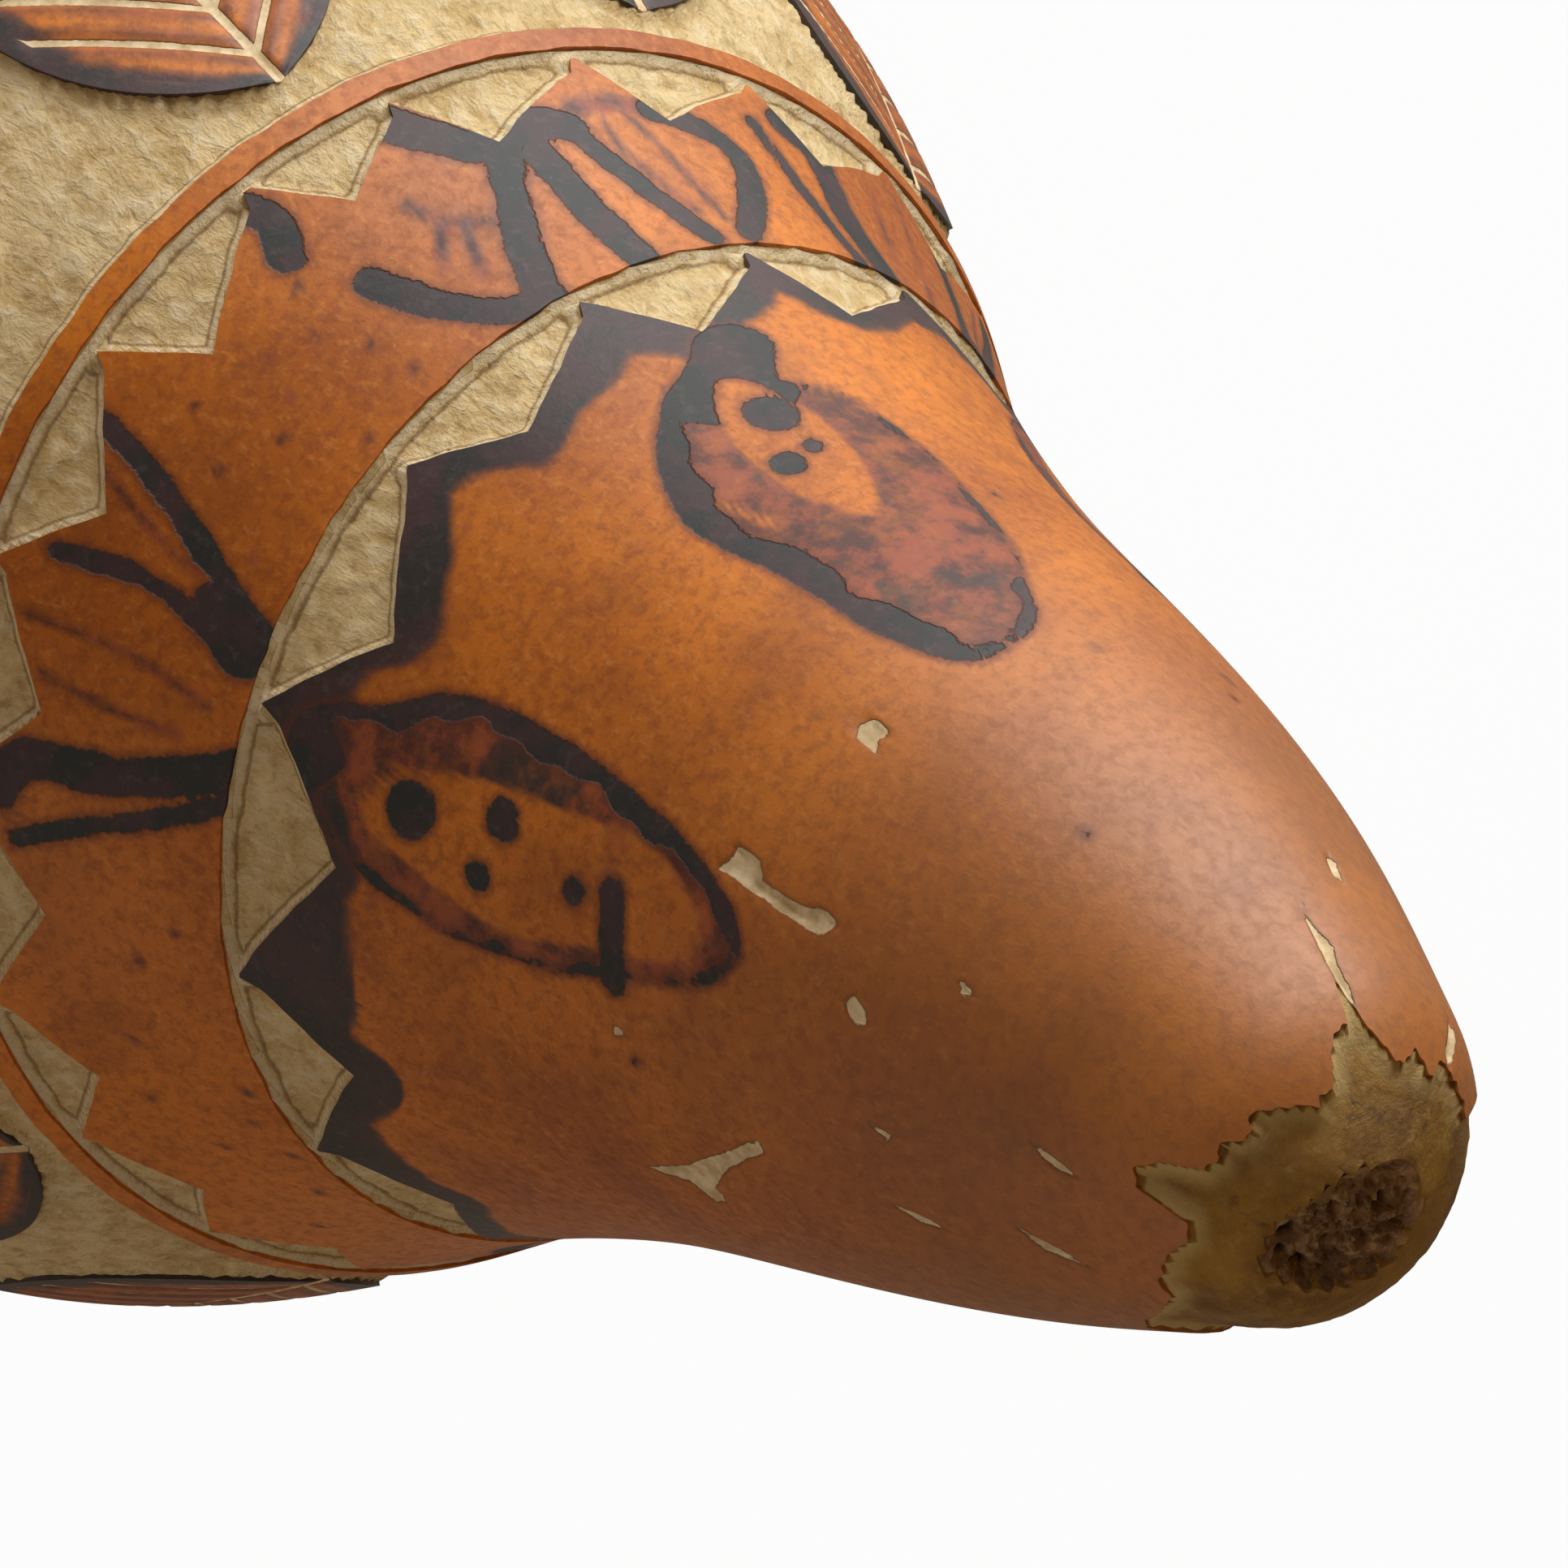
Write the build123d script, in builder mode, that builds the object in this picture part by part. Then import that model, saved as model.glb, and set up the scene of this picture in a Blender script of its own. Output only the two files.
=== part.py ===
from build123d import *
from math import cos, radians, sin, sqrt
import os

# Carved bottle gourd that stands on its sanded belly, neck up. Millimetres.
# The carving cuts through the dyed skin, so the skin is left as islands on the woody shell.
# Angles run round the upright axis from the front (-Y), positive towards +X.

# Whole gourd
gourd_height = 223.0
belly_radius = 72.0
stem_dome_radius = 15.0
stem_dome_angle = 60.0
shell_wall = 4.4
skin_thickness = 0.6
lining_thickness = 1.2

# Hair gap that keeps each layer a solid of its own
layer_gap = 0.05

# Foot and blossom end
foot_radius = 21.0
dimple_radius = 11.0
dimple_depth = 4.0
blossom_radius = 4.0
blossom_depth = 1.6
blossom_proud = 0.6

# Cavity floor
floor_height = 8.8

# Cut lines, as wide as one pass of the graver
line_width = 1.1

# Toothed ring round the neck
ring_height = 126.2
ring_rise = 4.3
ring_radius = 41.0
ring_tooth_count = 13
ring_tooth_height = 7.8
ring_tooth_first_angle = 3.0

# Toothed band round the shoulder
band_height = 107.4
band_radius = 52.5
band_strip_width = 1.9
band_tooth_count = 19
band_tooth_height = 6.2
band_tooth_first_angle = -17.0

# Leaves left standing on the carved belly
frieze_depth = 44.0
leaf_count = 10
leaf_width = 31.0
leaf_gap = 1.6

# Toothed ring under the belly
hem_height = 27.0
hem_radius = 62.0
hem_tooth_count = 24
hem_tooth_height = 6.0
base_skin_height = 4.4

# Flaked stem end
peel_height = 213.0
peel_drop = 7.0
peel_side_angle = 100.0
peel_radius = 14.0
flake_radius = 3.0

# Corky stem scar
scar_length = 12.5
scar_width = 10.0
scar_depth = 4.0
scar_sink = 0.6
scar_dome_radius = 15.0
scar_offset = 6.4
scar_side_angle = 75.0
scar_drop = 1.7
scar_rise = 5.4
pit_radius = 1.1

# Dried core
core_radius = 4.6
core_waist_radius = 2.4
web_thickness = 0.9
web_count = 3
web_start_angle = 40.0
core_clearance = 0.3
web_foot_height = 138.0
web_top_height = 176.0

# Loose seeds
seed_length = 15.0
seed_width = 7.4
seed_thickness = 2.6
seed_ridge = 0.5
seed_rim = 1.2
seed_clearance = 0.3

# One overrun serves every cut
overrun = 3.0

# Half outline from the foot to the stem end: shares of belly_radius and of gourd_height
outline_shares = (
    (0.81, 0.105),
    (0.995, 0.21),
    (0.97, 0.312),
    (0.861, 0.40),
    (0.736, 0.475),
    (0.621, 0.541),
    (0.522, 0.616),
    (0.454, 0.683),
    (0.407, 0.746),
    (0.353, 0.816),
    (0.284, 0.885),
    (0.206, 0.948),
)

# Even steps along the side that an inset side passes through, and the one where the cavity's bowl ends
inset_steps = 16
bowl_step = 3

# Pull of the side's two end tangents; 1 keeps the curve as even as its points
end_pulls = (1, 1)

# Where the surfaces of revolution start and end: between two leaves and clear of every tooth's apex
seam_angle = -161.0

# Teeth: where the apex stands, as a share of the tooth's own width, and how far the long edge swells
ring_apex_share = 0.52
band_apex_share = 0.66
hem_apex_share = 0.5
tooth_swell_share = 0.16

# How wide a tooth is at its foot, as a share of its pitch
tooth_width_share = 0.94

# Flakes at the stem end: angle as a share of a turn, and reach below the torn edge in flake radii
flake_shares = (
    (0.03, 0.3),
    (0.11, 0.7),
    (0.17, 1.1),
    (0.24, 0.5),
    (0.33, 0.9),
    (0.46, 0.4),
    (0.58, 0.8),
    (0.71, 0.3),
    (0.83, 0.9),
    (0.93, 0.6),
)

# Pits in the scar: shares of half its length and of half its width
pit_shares = (
    (-0.55, -0.3),
    (-0.25, 0.45),
    (0.05, -0.5),
    (0.2, 0.1),
    (0.5, 0.5),
    (0.62, -0.25),
)

# Seeds on the floor: distance from the axis as a share of belly_radius, angle and turn as shares of a turn
seed_place_shares = (
    (0.31, 0.02, 0.27),
    (0.30, 0.22, 0.21),
    (0.33, 0.41, 0.30),
    (0.30, 0.61, 0.23),
    (0.32, 0.81, 0.28),
    (0.53, 0.06, 0.03),
    (0.51, 0.20, 0.12),
    (0.54, 0.35, -0.04),
    (0.51, 0.49, 0.55),
    (0.54, 0.64, 0.02),
    (0.51, 0.78, 0.38),
    (0.53, 0.92, -0.06),
)

# Seed outline: shares of half the width at the eared end, and of the length where the seed is widest
seed_ear_share = 0.62
seed_notch_share = 0.06
seed_wide_share = 0.18

full_turn = 360.0


os.makedirs("parts", exist_ok=True)


def around(angle):
    """Unit vector that points out from the axis at this angle from the front."""
    return Vector(sin(radians(angle)), -cos(radians(angle)), 0)


seam_plane = Plane((0, 0, 0), around(seam_angle), around(seam_angle - full_turn / 4))


def facing_plane(angle, reach, height):
    """Plane that stands off the axis by reach and faces outward; its local Y is up."""
    outward = around(angle)
    return Plane(
        origin=outward * reach + Vector(0, 0, height),
        x_dir=around(angle + full_turn / 4),
        z_dir=outward,
    )


def tilted_plane(height, rise, radius, angle):
    """Plane round the axis at this height that rises by rise, at this radius, on the side of angle."""
    outward = around(angle)
    return Plane(
        origin=(0, 0, height),
        x_dir=(outward.X * radius, outward.Y * radius, rise),
        z_dir=(-outward.X * rise, -outward.Y * rise, radius),
    )


def dome_edge(inset):
    """Where the stem end's dome meets the side, inset from the dyed surface, and the side's direction there."""
    radius = stem_dome_radius - inset
    outward = Vector(sin(radians(stem_dome_angle)), cos(radians(stem_dome_angle)))
    return Vector(0, gourd_height - stem_dome_radius) + outward * radius, Vector(-outward.Y, outward.X)


# Side of the dyed surface from the foot to the dome's edge, which every layer follows
with BuildLine() as dyed_side:
    Spline(
        (foot_radius, -skin_thickness),
        *[(belly_radius * r, gourd_height * h) for r, h in outline_shares],
        dome_edge(0)[0],
        tangents=[(foot_radius, 0), dome_edge(0)[1]],
        tangent_scalars=end_pulls,
    )


def inset_side(inset, first_step=0):
    """Points up the side to the dome's edge, moved in square to the dyed surface, and the first one's direction."""
    side = dyed_side.line
    shares = [step / inset_steps for step in range(first_step, inset_steps + 1)]
    ways = [side % share for share in shares]
    moved = [side @ share + Vector(-way.Y, way.X) * inset for share, way in zip(shares, ways)]
    return moved, ways[0]


def draw_side(inset, first_step=0):
    """Draws the side and the dome, inset from the dyed surface; gives the two ends."""
    points, first_way = inset_side(inset, first_step)
    tip = Vector(0, gourd_height - inset)
    Spline(points, tangents=[first_way, dome_edge(inset)[1]], tangent_scalars=end_pulls)
    TangentArc(points[-1], tip, tangent=dome_edge(inset)[1])
    return points[0], tip


def draw_cavity(lining):
    """Draws the hollow inside the woody wall, less a lining: side, dome and bowl floor; gives floor and tip."""
    edge, tip = draw_side(skin_thickness + shell_wall + lining, bowl_step)
    floor = Vector(0, floor_height + lining)
    TangentArc(floor, edge, tangent=(bowl_radius(lining), 0))
    return floor, tip


def bowl_radius(lining):
    """Radius of the bowl that lies level on the floor and runs into the side."""
    edge = inset_side(skin_thickness + shell_wall + lining, bowl_step)[0][0]
    rise = edge.Y - floor_height - lining
    return (edge.X**2 + rise**2) / (2 * rise)


def tooth_cutters(count, first_angle, radius, height, rise, tooth_height, apex_share, upward):
    """All teeth of one ring, as prisms that pass out through the skin."""
    pitch = full_turn / count
    width = 2 * radius * sin(radians(pitch / 2)) * tooth_width_share
    apex_x = width * (apex_share - 1 / 2)
    swell = tooth_height * tooth_swell_share
    reach = radius - tooth_height - overrun
    with BuildPart() as cutters:
        for number in range(count):
            angle = first_angle + pitch * number
            plane = facing_plane(angle, reach, height + rise * cos(radians(angle)))
            with BuildSketch(plane):
                with BuildLine():
                    Polyline(
                        (-width / 2, 0),
                        (-width / 2, -line_width / 2),
                        (width / 2, -line_width / 2),
                        (width / 2, 0),
                        (apex_x, tooth_height),
                    )
                    SagittaArc((apex_x, tooth_height), (-width / 2, 0), -swell)
                make_face()
                if not upward:
                    mirror(about=Plane.XZ, mode=Mode.REPLACE)
            extrude(amount=2 * (tooth_height + overrun))
    return cutters.part


# Dyed skin all over, which the carving divides
with BuildPart() as dyed_skin:
    with BuildSketch(seam_plane):
        with BuildLine():
            skin_foot, skin_tip = draw_side(0)
            under_foot, under_tip = draw_side(skin_thickness - layer_gap)
            Line(skin_foot, under_foot)
            Line(skin_tip, under_tip)
        make_face()
    revolve(axis=Axis.Z)

# Planes of the cut lines, from the stem end down
ring_plane = tilted_plane(ring_height, ring_rise, ring_radius, 0)
peel_plane = tilted_plane(peel_height, -peel_drop, peel_radius, peel_side_angle)
strip_top = band_height - line_width / 2
strip_foot = strip_top - band_strip_width
frieze_top = strip_foot - line_width
frieze_foot = frieze_top - frieze_depth

# Seat of the stem scar: an oval pocket through the skin into the wall
scar_plane = tilted_plane(gourd_height - scar_drop, -scar_rise, peel_radius, scar_side_angle)
scar_plane.origin = scar_plane.origin + around(scar_side_angle) * scar_offset
with BuildPart() as scar_seat:
    with BuildSketch(scar_plane.offset(-scar_depth)):
        Ellipse(scar_width / 2, scar_length / 2)
    extrude(amount=scar_depth + overrun)

# Seat of the blossom scar, in the dimple
blossom_face = dimple_depth - blossom_proud
with BuildPart() as blossom_seat:
    with BuildSketch(Plane.XY.offset(blossom_face)):
        Circle(blossom_radius)
    extrude(amount=blossom_proud + blossom_depth)


# Woody wall, hollow, with the dimple under it and the two seats
dimple_curve = (dimple_radius**2 + dimple_depth**2) / (2 * dimple_depth)
with BuildPart() as hard_shell:
    with BuildSketch(seam_plane):
        with BuildLine():
            wall_foot, wall_tip = draw_side(skin_thickness)
            floor, cavity_tip = draw_cavity(0)
            dimple = TangentArc((0, dimple_depth), (dimple_radius, 0), tangent=(dimple_curve, 0))
            Line(dimple @ 1, wall_foot)
            Line(wall_tip, cavity_tip)
            Line(floor, dimple @ 0)
        make_face()
    revolve(axis=Axis.Z)
    add(scar_seat.part, mode=Mode.SUBTRACT)
    add(blossom_seat.part, mode=Mode.SUBTRACT)
hard_shell.part.label = "hard_shell"
export_step(hard_shell.part, "parts/hard_shell.step")

# Skin of the neck: toothed lower edge, and an upper edge torn where the skin has flaked off
with BuildPart() as flakes:
    for turn_share, reach_share in flake_shares:
        angle = full_turn * turn_share
        edge = peel_height - peel_drop * cos(radians(angle - peel_side_angle))
        with BuildSketch(facing_plane(angle, 0, edge - flake_radius * reach_share)):
            Circle(flake_radius)
        extrude(amount=belly_radius)
ring_teeth = tooth_cutters(
    ring_tooth_count,
    ring_tooth_first_angle,
    ring_radius,
    ring_height,
    ring_rise,
    ring_tooth_height,
    ring_apex_share,
    upward=True,
)
with BuildPart() as neck_skin:
    add(dyed_skin.part)
    split(bisect_by=ring_plane.offset(line_width / 2), keep=Keep.TOP)
    split(bisect_by=peel_plane, keep=Keep.BOTTOM)
    add(flakes.part, mode=Mode.SUBTRACT)
    add(ring_teeth, mode=Mode.SUBTRACT)
neck_skin.part.label = "neck_skin"
export_step(neck_skin.part, "parts/neck_skin.step")

# Skin of the shoulder: plain edge to the neck ring, toothed edge to the shoulder band
band_teeth = tooth_cutters(
    band_tooth_count,
    band_tooth_first_angle,
    band_radius,
    band_height,
    0,
    band_tooth_height,
    band_apex_share,
    upward=True,
)
with BuildPart() as shoulder_skin:
    add(dyed_skin.part)
    split(bisect_by=ring_plane.offset(-line_width / 2), keep=Keep.BOTTOM)
    split(bisect_by=Plane.XY.offset(band_height + line_width / 2), keep=Keep.TOP)
    add(band_teeth, mode=Mode.SUBTRACT)
shoulder_skin.part.label = "shoulder_skin"
export_step(shoulder_skin.part, "parts/shoulder_skin.step")

# Strip of skin between the two lines of the shoulder band
with BuildPart() as shoulder_strip:
    add(dyed_skin.part)
    split(bisect_by=Plane.XY.offset(strip_top), keep=Keep.BOTTOM)
    split(bisect_by=Plane.XY.offset(strip_foot), keep=Keep.TOP)
shoulder_strip.part.label = "shoulder_strip"
export_step(shoulder_strip.part, "parts/shoulder_strip.step")

# Leaves of skin left standing on the carved belly
leaf_height = frieze_depth - 2 * leaf_gap
with BuildPart() as leaf_prisms:
    for number in range(leaf_count):
        leaf_angle = full_turn * number / leaf_count
        with BuildSketch(facing_plane(leaf_angle, belly_radius / 2, frieze_foot + frieze_depth / 2)):
            with BuildLine():
                SagittaArc((0, -leaf_height / 2), (0, leaf_height / 2), leaf_width / 2)
                SagittaArc((0, leaf_height / 2), (0, -leaf_height / 2), leaf_width / 2)
            make_face()
        extrude(amount=belly_radius)
with BuildPart() as belly_leaves:
    add(dyed_skin.part)
    add(leaf_prisms.part, mode=Mode.INTERSECT)
belly_leaves.part.label = "belly_leaves"
export_step(belly_leaves.part, "parts/belly_leaves.step")

# Skin of the belly, from the carved frieze to the hem ring
with BuildPart() as belly_skin:
    add(dyed_skin.part)
    split(bisect_by=Plane.XY.offset(frieze_foot), keep=Keep.BOTTOM)
    split(bisect_by=Plane.XY.offset(hem_height + line_width / 2), keep=Keep.TOP)
belly_skin.part.label = "belly_skin"
export_step(belly_skin.part, "parts/belly_skin.step")

# Skin under the belly, toothed at its upper edge, clear of the ground
hem_teeth = tooth_cutters(
    hem_tooth_count,
    0,
    hem_radius,
    hem_height,
    0,
    hem_tooth_height,
    hem_apex_share,
    upward=False,
)
with BuildPart() as base_skin:
    add(dyed_skin.part)
    split(bisect_by=Plane.XY.offset(hem_height - line_width / 2), keep=Keep.BOTTOM)
    split(bisect_by=Plane.XY.offset(base_skin_height), keep=Keep.TOP)
    add(hem_teeth, mode=Mode.SUBTRACT)
base_skin.part.label = "base_skin"
export_step(base_skin.part, "parts/base_skin.step")

# Corky stem scar, domed like the rind and sunk a little below it, with its pits
scar_top = skin_thickness + scar_sink
with BuildPart() as stem_scar:
    add(scar_seat.part)
    with Locations(scar_plane.offset(-scar_dome_radius - scar_top)):
        Sphere(scar_dome_radius, rotation=(full_turn / 4, 0, 0), mode=Mode.INTERSECT)
    with Locations(scar_plane.offset(-scar_top)):
        with Locations(*[(scar_width / 2 * v, scar_length / 2 * u) for u, v in pit_shares]):
            Sphere(pit_radius, mode=Mode.SUBTRACT)
stem_scar.part.label = "stem_scar"
export_step(stem_scar.part, "parts/stem_scar.step")

# Corky button at the blossom end
with BuildPart() as blossom_scar:
    add(blossom_seat.part)
    fillet(blossom_scar.faces().sort_by(Axis.Z)[0].edges(), radius=blossom_proud / 2)
blossom_scar.part.label = "blossom_scar"
export_step(blossom_scar.part, "parts/blossom_scar.step")

# Dry spongy lining of the cavity
with BuildPart() as pith_lining:
    with BuildSketch(seam_plane):
        with BuildLine():
            floor, cavity_tip = draw_cavity(layer_gap)
            lining_floor, lining_tip = draw_cavity(lining_thickness)
            Line(floor, lining_floor)
            Line(cavity_tip, lining_tip)
        make_face()
    revolve(axis=Axis.Z)
pith_lining.part.label = "pith_lining"
export_step(pith_lining.part, "parts/pith_lining.step")

# Shrunken core, with the webs that hold it to the lining of the neck
lined_depth = skin_thickness + shell_wall + lining_thickness
core_foot = floor_height + lining_thickness + core_clearance
core_top = gourd_height - lined_depth - core_radius / 2
core_middle = (web_foot_height + core_foot) / 2
neck_wall = [
    point
    for point in inset_side(lined_depth + core_clearance)[0]
    if web_foot_height < point.Y < web_top_height
]
with BuildPart() as pith_core:
    with BuildSketch(Plane.XZ):
        with BuildLine():
            Polyline(
                (core_radius, core_foot),
                (0, core_foot),
                (0, core_top),
                (core_radius / 2, core_top),
                (core_radius, web_top_height),
                (core_radius, web_foot_height),
            )
            Spline(
                (core_radius, web_foot_height),
                (core_waist_radius, core_middle),
                (core_radius, core_foot),
            )
        make_face()
    revolve(axis=Axis.Z)
    for number in range(web_count):
        web_angle = web_start_angle + full_turn * number / web_count
        with BuildSketch(Plane((0, 0, 0), around(web_angle), around(web_angle - full_turn / 4))):
            with BuildLine():
                Spline(neck_wall)
                Line(neck_wall[-1], (core_waist_radius, web_top_height))
                Line((core_waist_radius, web_top_height), (core_waist_radius, web_foot_height))
                Line((core_waist_radius, web_foot_height), neck_wall[0])
            make_face()
        extrude(amount=web_thickness / 2, both=True)
pith_core.part.label = "pith_core"
export_step(pith_core.part, "parts/pith_core.step")


def seed_plane(distance, angle, turn):
    """Plane just clear of the bowl floor, square to it, turned about its own normal."""
    floor_radius = bowl_radius(lining_thickness)
    bowl_centre = Vector(0, 0, floor_height + lining_thickness + floor_radius)
    drop = sqrt(floor_radius**2 - distance**2)
    rest = around(angle) * distance + bowl_centre - Vector(0, 0, drop)
    normal = (bowl_centre - rest).normalized()
    sagitta = seed_length**2 / 8 / floor_radius
    lifted = rest + normal * (seed_clearance + sagitta)
    sideways = around(angle + full_turn / 4)
    lengthways = sideways * cos(radians(turn)) + normal.cross(sideways) * sin(radians(turn))
    return Plane(origin=lifted, x_dir=lengthways, z_dir=normal)


def seed_outline(margin):
    """Flat seed: rounded at the tip, squared at the eared end, notched between the ears; less a margin."""
    length = seed_length - 2 * margin
    half = seed_width / 2 - margin
    ear = (length / 2, half * seed_ear_share)
    wide = (-length * seed_wide_share, half)
    tip = (-length / 2, 0)
    notch = (length / 2 - length * seed_notch_share, 0)
    with BuildSketch() as outline:
        with BuildLine():
            Line(notch, ear)
            Spline(ear, wide, tip, tangents=[(-length, half), (0, -half)])
            mirror(about=Plane.XZ)
        make_face()
    return outline.sketch


# Loose seeds on the floor of the cavity, each with a raised rim on both faces
whole_outline = seed_outline(0)
seed_panel = seed_outline(seed_rim)
for number, (distance_share, angle_share, turn_share) in enumerate(seed_place_shares, start=1):
    floor_plane = seed_plane(
        belly_radius * distance_share,
        full_turn * angle_share,
        full_turn * turn_share,
    )
    with BuildPart() as seed:
        with BuildSketch(floor_plane):
            add(whole_outline)
        extrude(amount=seed_thickness)
        with BuildSketch(floor_plane.offset(seed_thickness)):
            add(seed_panel)
        extrude(amount=-seed_ridge, mode=Mode.SUBTRACT)
        with BuildSketch(floor_plane):
            add(seed_panel)
        extrude(amount=seed_ridge, mode=Mode.SUBTRACT)
    seed_name = f"seed_{number:02d}"
    seed.part.label = seed_name
    export_step(seed.part, f"parts/{seed_name}.step")
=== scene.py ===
import math
import random

import bpy
import numpy as np
from mathutils import Matrix, Vector, kdtree, noise


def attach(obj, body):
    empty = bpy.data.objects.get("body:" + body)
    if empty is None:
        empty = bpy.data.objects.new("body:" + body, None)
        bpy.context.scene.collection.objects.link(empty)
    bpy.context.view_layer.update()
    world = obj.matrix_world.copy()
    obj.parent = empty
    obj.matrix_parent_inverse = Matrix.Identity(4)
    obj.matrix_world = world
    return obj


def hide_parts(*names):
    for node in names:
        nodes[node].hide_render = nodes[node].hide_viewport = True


# Carved bottle gourd. Lengths are written in millimetres and turned into metres where a mesh or a node needs them.
# Angles run round the upright axis from the front (-Y), positive towards +X.
MM = 0.001

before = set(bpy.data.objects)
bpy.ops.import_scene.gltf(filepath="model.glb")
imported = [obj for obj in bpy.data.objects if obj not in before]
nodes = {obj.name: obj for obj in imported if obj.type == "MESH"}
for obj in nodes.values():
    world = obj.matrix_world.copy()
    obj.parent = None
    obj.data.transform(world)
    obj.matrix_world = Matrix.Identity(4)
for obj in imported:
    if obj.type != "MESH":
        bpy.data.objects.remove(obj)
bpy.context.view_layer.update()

# ---------- driving sizes; those of the gourd are the ones that the solids have ----------

gourd_height = 223.0
belly_radius = 72.0
skin_thickness = 0.6
shell_wall = 4.4
foot_radius = 21.0
dimple_radius = 11.0
dimple_depth = 4.0
stem_dome_radius = 15.0
stem_dome_angle = math.radians(60.0)
outline_shares = (
    (0.81, 0.105), (0.995, 0.21), (0.97, 0.312), (0.861, 0.40), (0.736, 0.475), (0.621, 0.541), (0.522, 0.616),
    (0.454, 0.683), (0.407, 0.746), (0.353, 0.816), (0.284, 0.885), (0.206, 0.948),
)
line_width = 1.1
ring_height = 126.2
ring_rise = 4.3
band_height = 107.4
band_strip_width = 1.9
frieze_depth = 44.0
leaf_count = 10
leaf_width = 31.0
leaf_gap = 1.6
leaf_pitch = 360 / leaf_count
vein_pitch = 5.0
vein_slant = 0.9
vein_half = 0.42
vein_margin = 1.6
rib_half = 0.45
groove_depth = 0.28
rib_groove_half = 0.9
vein_groove_half = 0.85
leaf_char_width = 4.0
hem_height = 27.0
hem_tooth_count = 24
hem_tooth_height = 6.0
base_skin_height = 4.4
scar_length = 12.6
scar_width = 9.4
scar_offset = 3.4
scar_side_angle = 70.0
scar_long_angle = 50.0
dyed_depth = skin_thickness - 0.05
cavity_floor = 8.8
cavity_bowl_share = 0.19
bowl_row_share = 0.25
merge_distance = 0.01
# Edges sharper than this are shaded as edges, in degrees, on the skins and on rough wood
crisp_angle = 35
rough_angle = 60

strip_top = band_height - line_width / 2
strip_foot = strip_top - band_strip_width
frieze_top = strip_foot - line_width
frieze_foot = frieze_top - frieze_depth

# ---------- the surface: a curve through the outline, carried round the axis ----------


def even_curve(points, first_way, last_way, count):
    """Cubic curve through the points, level with the two end directions; gives count places along it."""
    points = np.array(points, float)
    steps = np.linalg.norm(np.diff(points, axis=0), axis=1)
    knots = np.concatenate([[0], np.cumsum(steps)])
    size = len(points)
    rows = np.zeros((size, size))
    sides = np.zeros((size, 2))
    rows[0, 0] = rows[-1, -1] = 1
    sides[0] = np.array(first_way) / np.linalg.norm(first_way)
    sides[-1] = np.array(last_way) / np.linalg.norm(last_way)
    for i in range(1, size - 1):
        before, after = steps[i - 1], steps[i]
        rows[i, i - 1 : i + 2] = after, 2 * (before + after), before
        rise_before = (points[i] - points[i - 1]) / before
        rise_after = (points[i + 1] - points[i]) / after
        sides[i] = 3 * (after * rise_before + before * rise_after)
    ways = np.linalg.solve(rows, sides)
    along = np.linspace(0, knots[-1], count)
    span = np.clip(np.searchsorted(knots, along, side="right") - 1, 0, size - 2)
    step = steps[span][:, None]
    t = (along - knots[span])[:, None] / step
    return (
        (2 * t**3 - 3 * t**2 + 1) * points[span]
        + (t**3 - 2 * t**2 + t) * step * ways[span]
        + (-2 * t**3 + 3 * t**2) * points[span + 1]
        + (t**3 - t**2) * step * ways[span + 1]
    )


side_steps = 1500
dome_steps = 120
dome_edge = (
    stem_dome_radius * math.sin(stem_dome_angle),
    gourd_height - stem_dome_radius + stem_dome_radius * math.cos(stem_dome_angle),
)
outline_points = [(belly_radius * r, gourd_height * h) for r, h in outline_shares]
side_curve = even_curve(
    [(foot_radius, -skin_thickness)] + outline_points + [dome_edge],
    (1, 0),
    (-math.cos(stem_dome_angle), math.sin(stem_dome_angle)),
    side_steps,
)
dome_turns = np.linspace(stem_dome_angle, 0, dome_steps)[1:]
dome_curve = np.stack(
    [stem_dome_radius * np.sin(dome_turns), gourd_height - stem_dome_radius + stem_dome_radius * np.cos(dome_turns)],
    axis=1,
)
outline = np.concatenate([side_curve, dome_curve])
outline_run = np.concatenate([[0], np.cumsum(np.linalg.norm(np.diff(outline, axis=0), axis=1))])
outline_way = np.gradient(outline, outline_run, axis=0)
outline_way /= np.linalg.norm(outline_way, axis=1)[:, None]


def run_at(height):
    """Length along the outline, from the foot, at which it reaches this height."""
    return np.interp(height, outline[:, 1], outline_run)


def on_surface(angle, run, depth):
    """Points at these angles in degrees and lengths along the outline, sunk by depth."""
    radius = np.interp(run, outline_run, outline[:, 0])
    height = np.interp(run, outline_run, outline[:, 1])
    way_r = np.interp(run, outline_run, outline_way[:, 0])
    way_h = np.interp(run, outline_run, outline_way[:, 1])
    radius = np.maximum(radius - way_h * depth, 0)
    height = height + way_r * depth
    turn = np.radians(angle)
    return np.stack([radius * np.sin(turn), -radius * np.cos(turn), height], axis=-1)


# The stem end leans a little to one side in the photograph, by lean_reach at its tip
lean_from = 140.0
lean_reach = (3.0, -2.0)
lean_power = 3


def lean(places):
    share = np.clip((places[:, 2] - lean_from) / (gourd_height - lean_from), 0, 1) ** lean_power
    leaned = places.copy()
    leaned[:, 0] += lean_reach[0] * share
    leaned[:, 1] += lean_reach[1] * share
    return leaned


def radius_at(run):
    return np.interp(run, outline_run, outline[:, 0])


def turned_from(angle, start):
    """Angles counted from another one, between -180 and 180 degrees."""
    return (angle - start + 180) % 360 - 180


# ---------- edges of the skins, as heights round the gourd ----------

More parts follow.
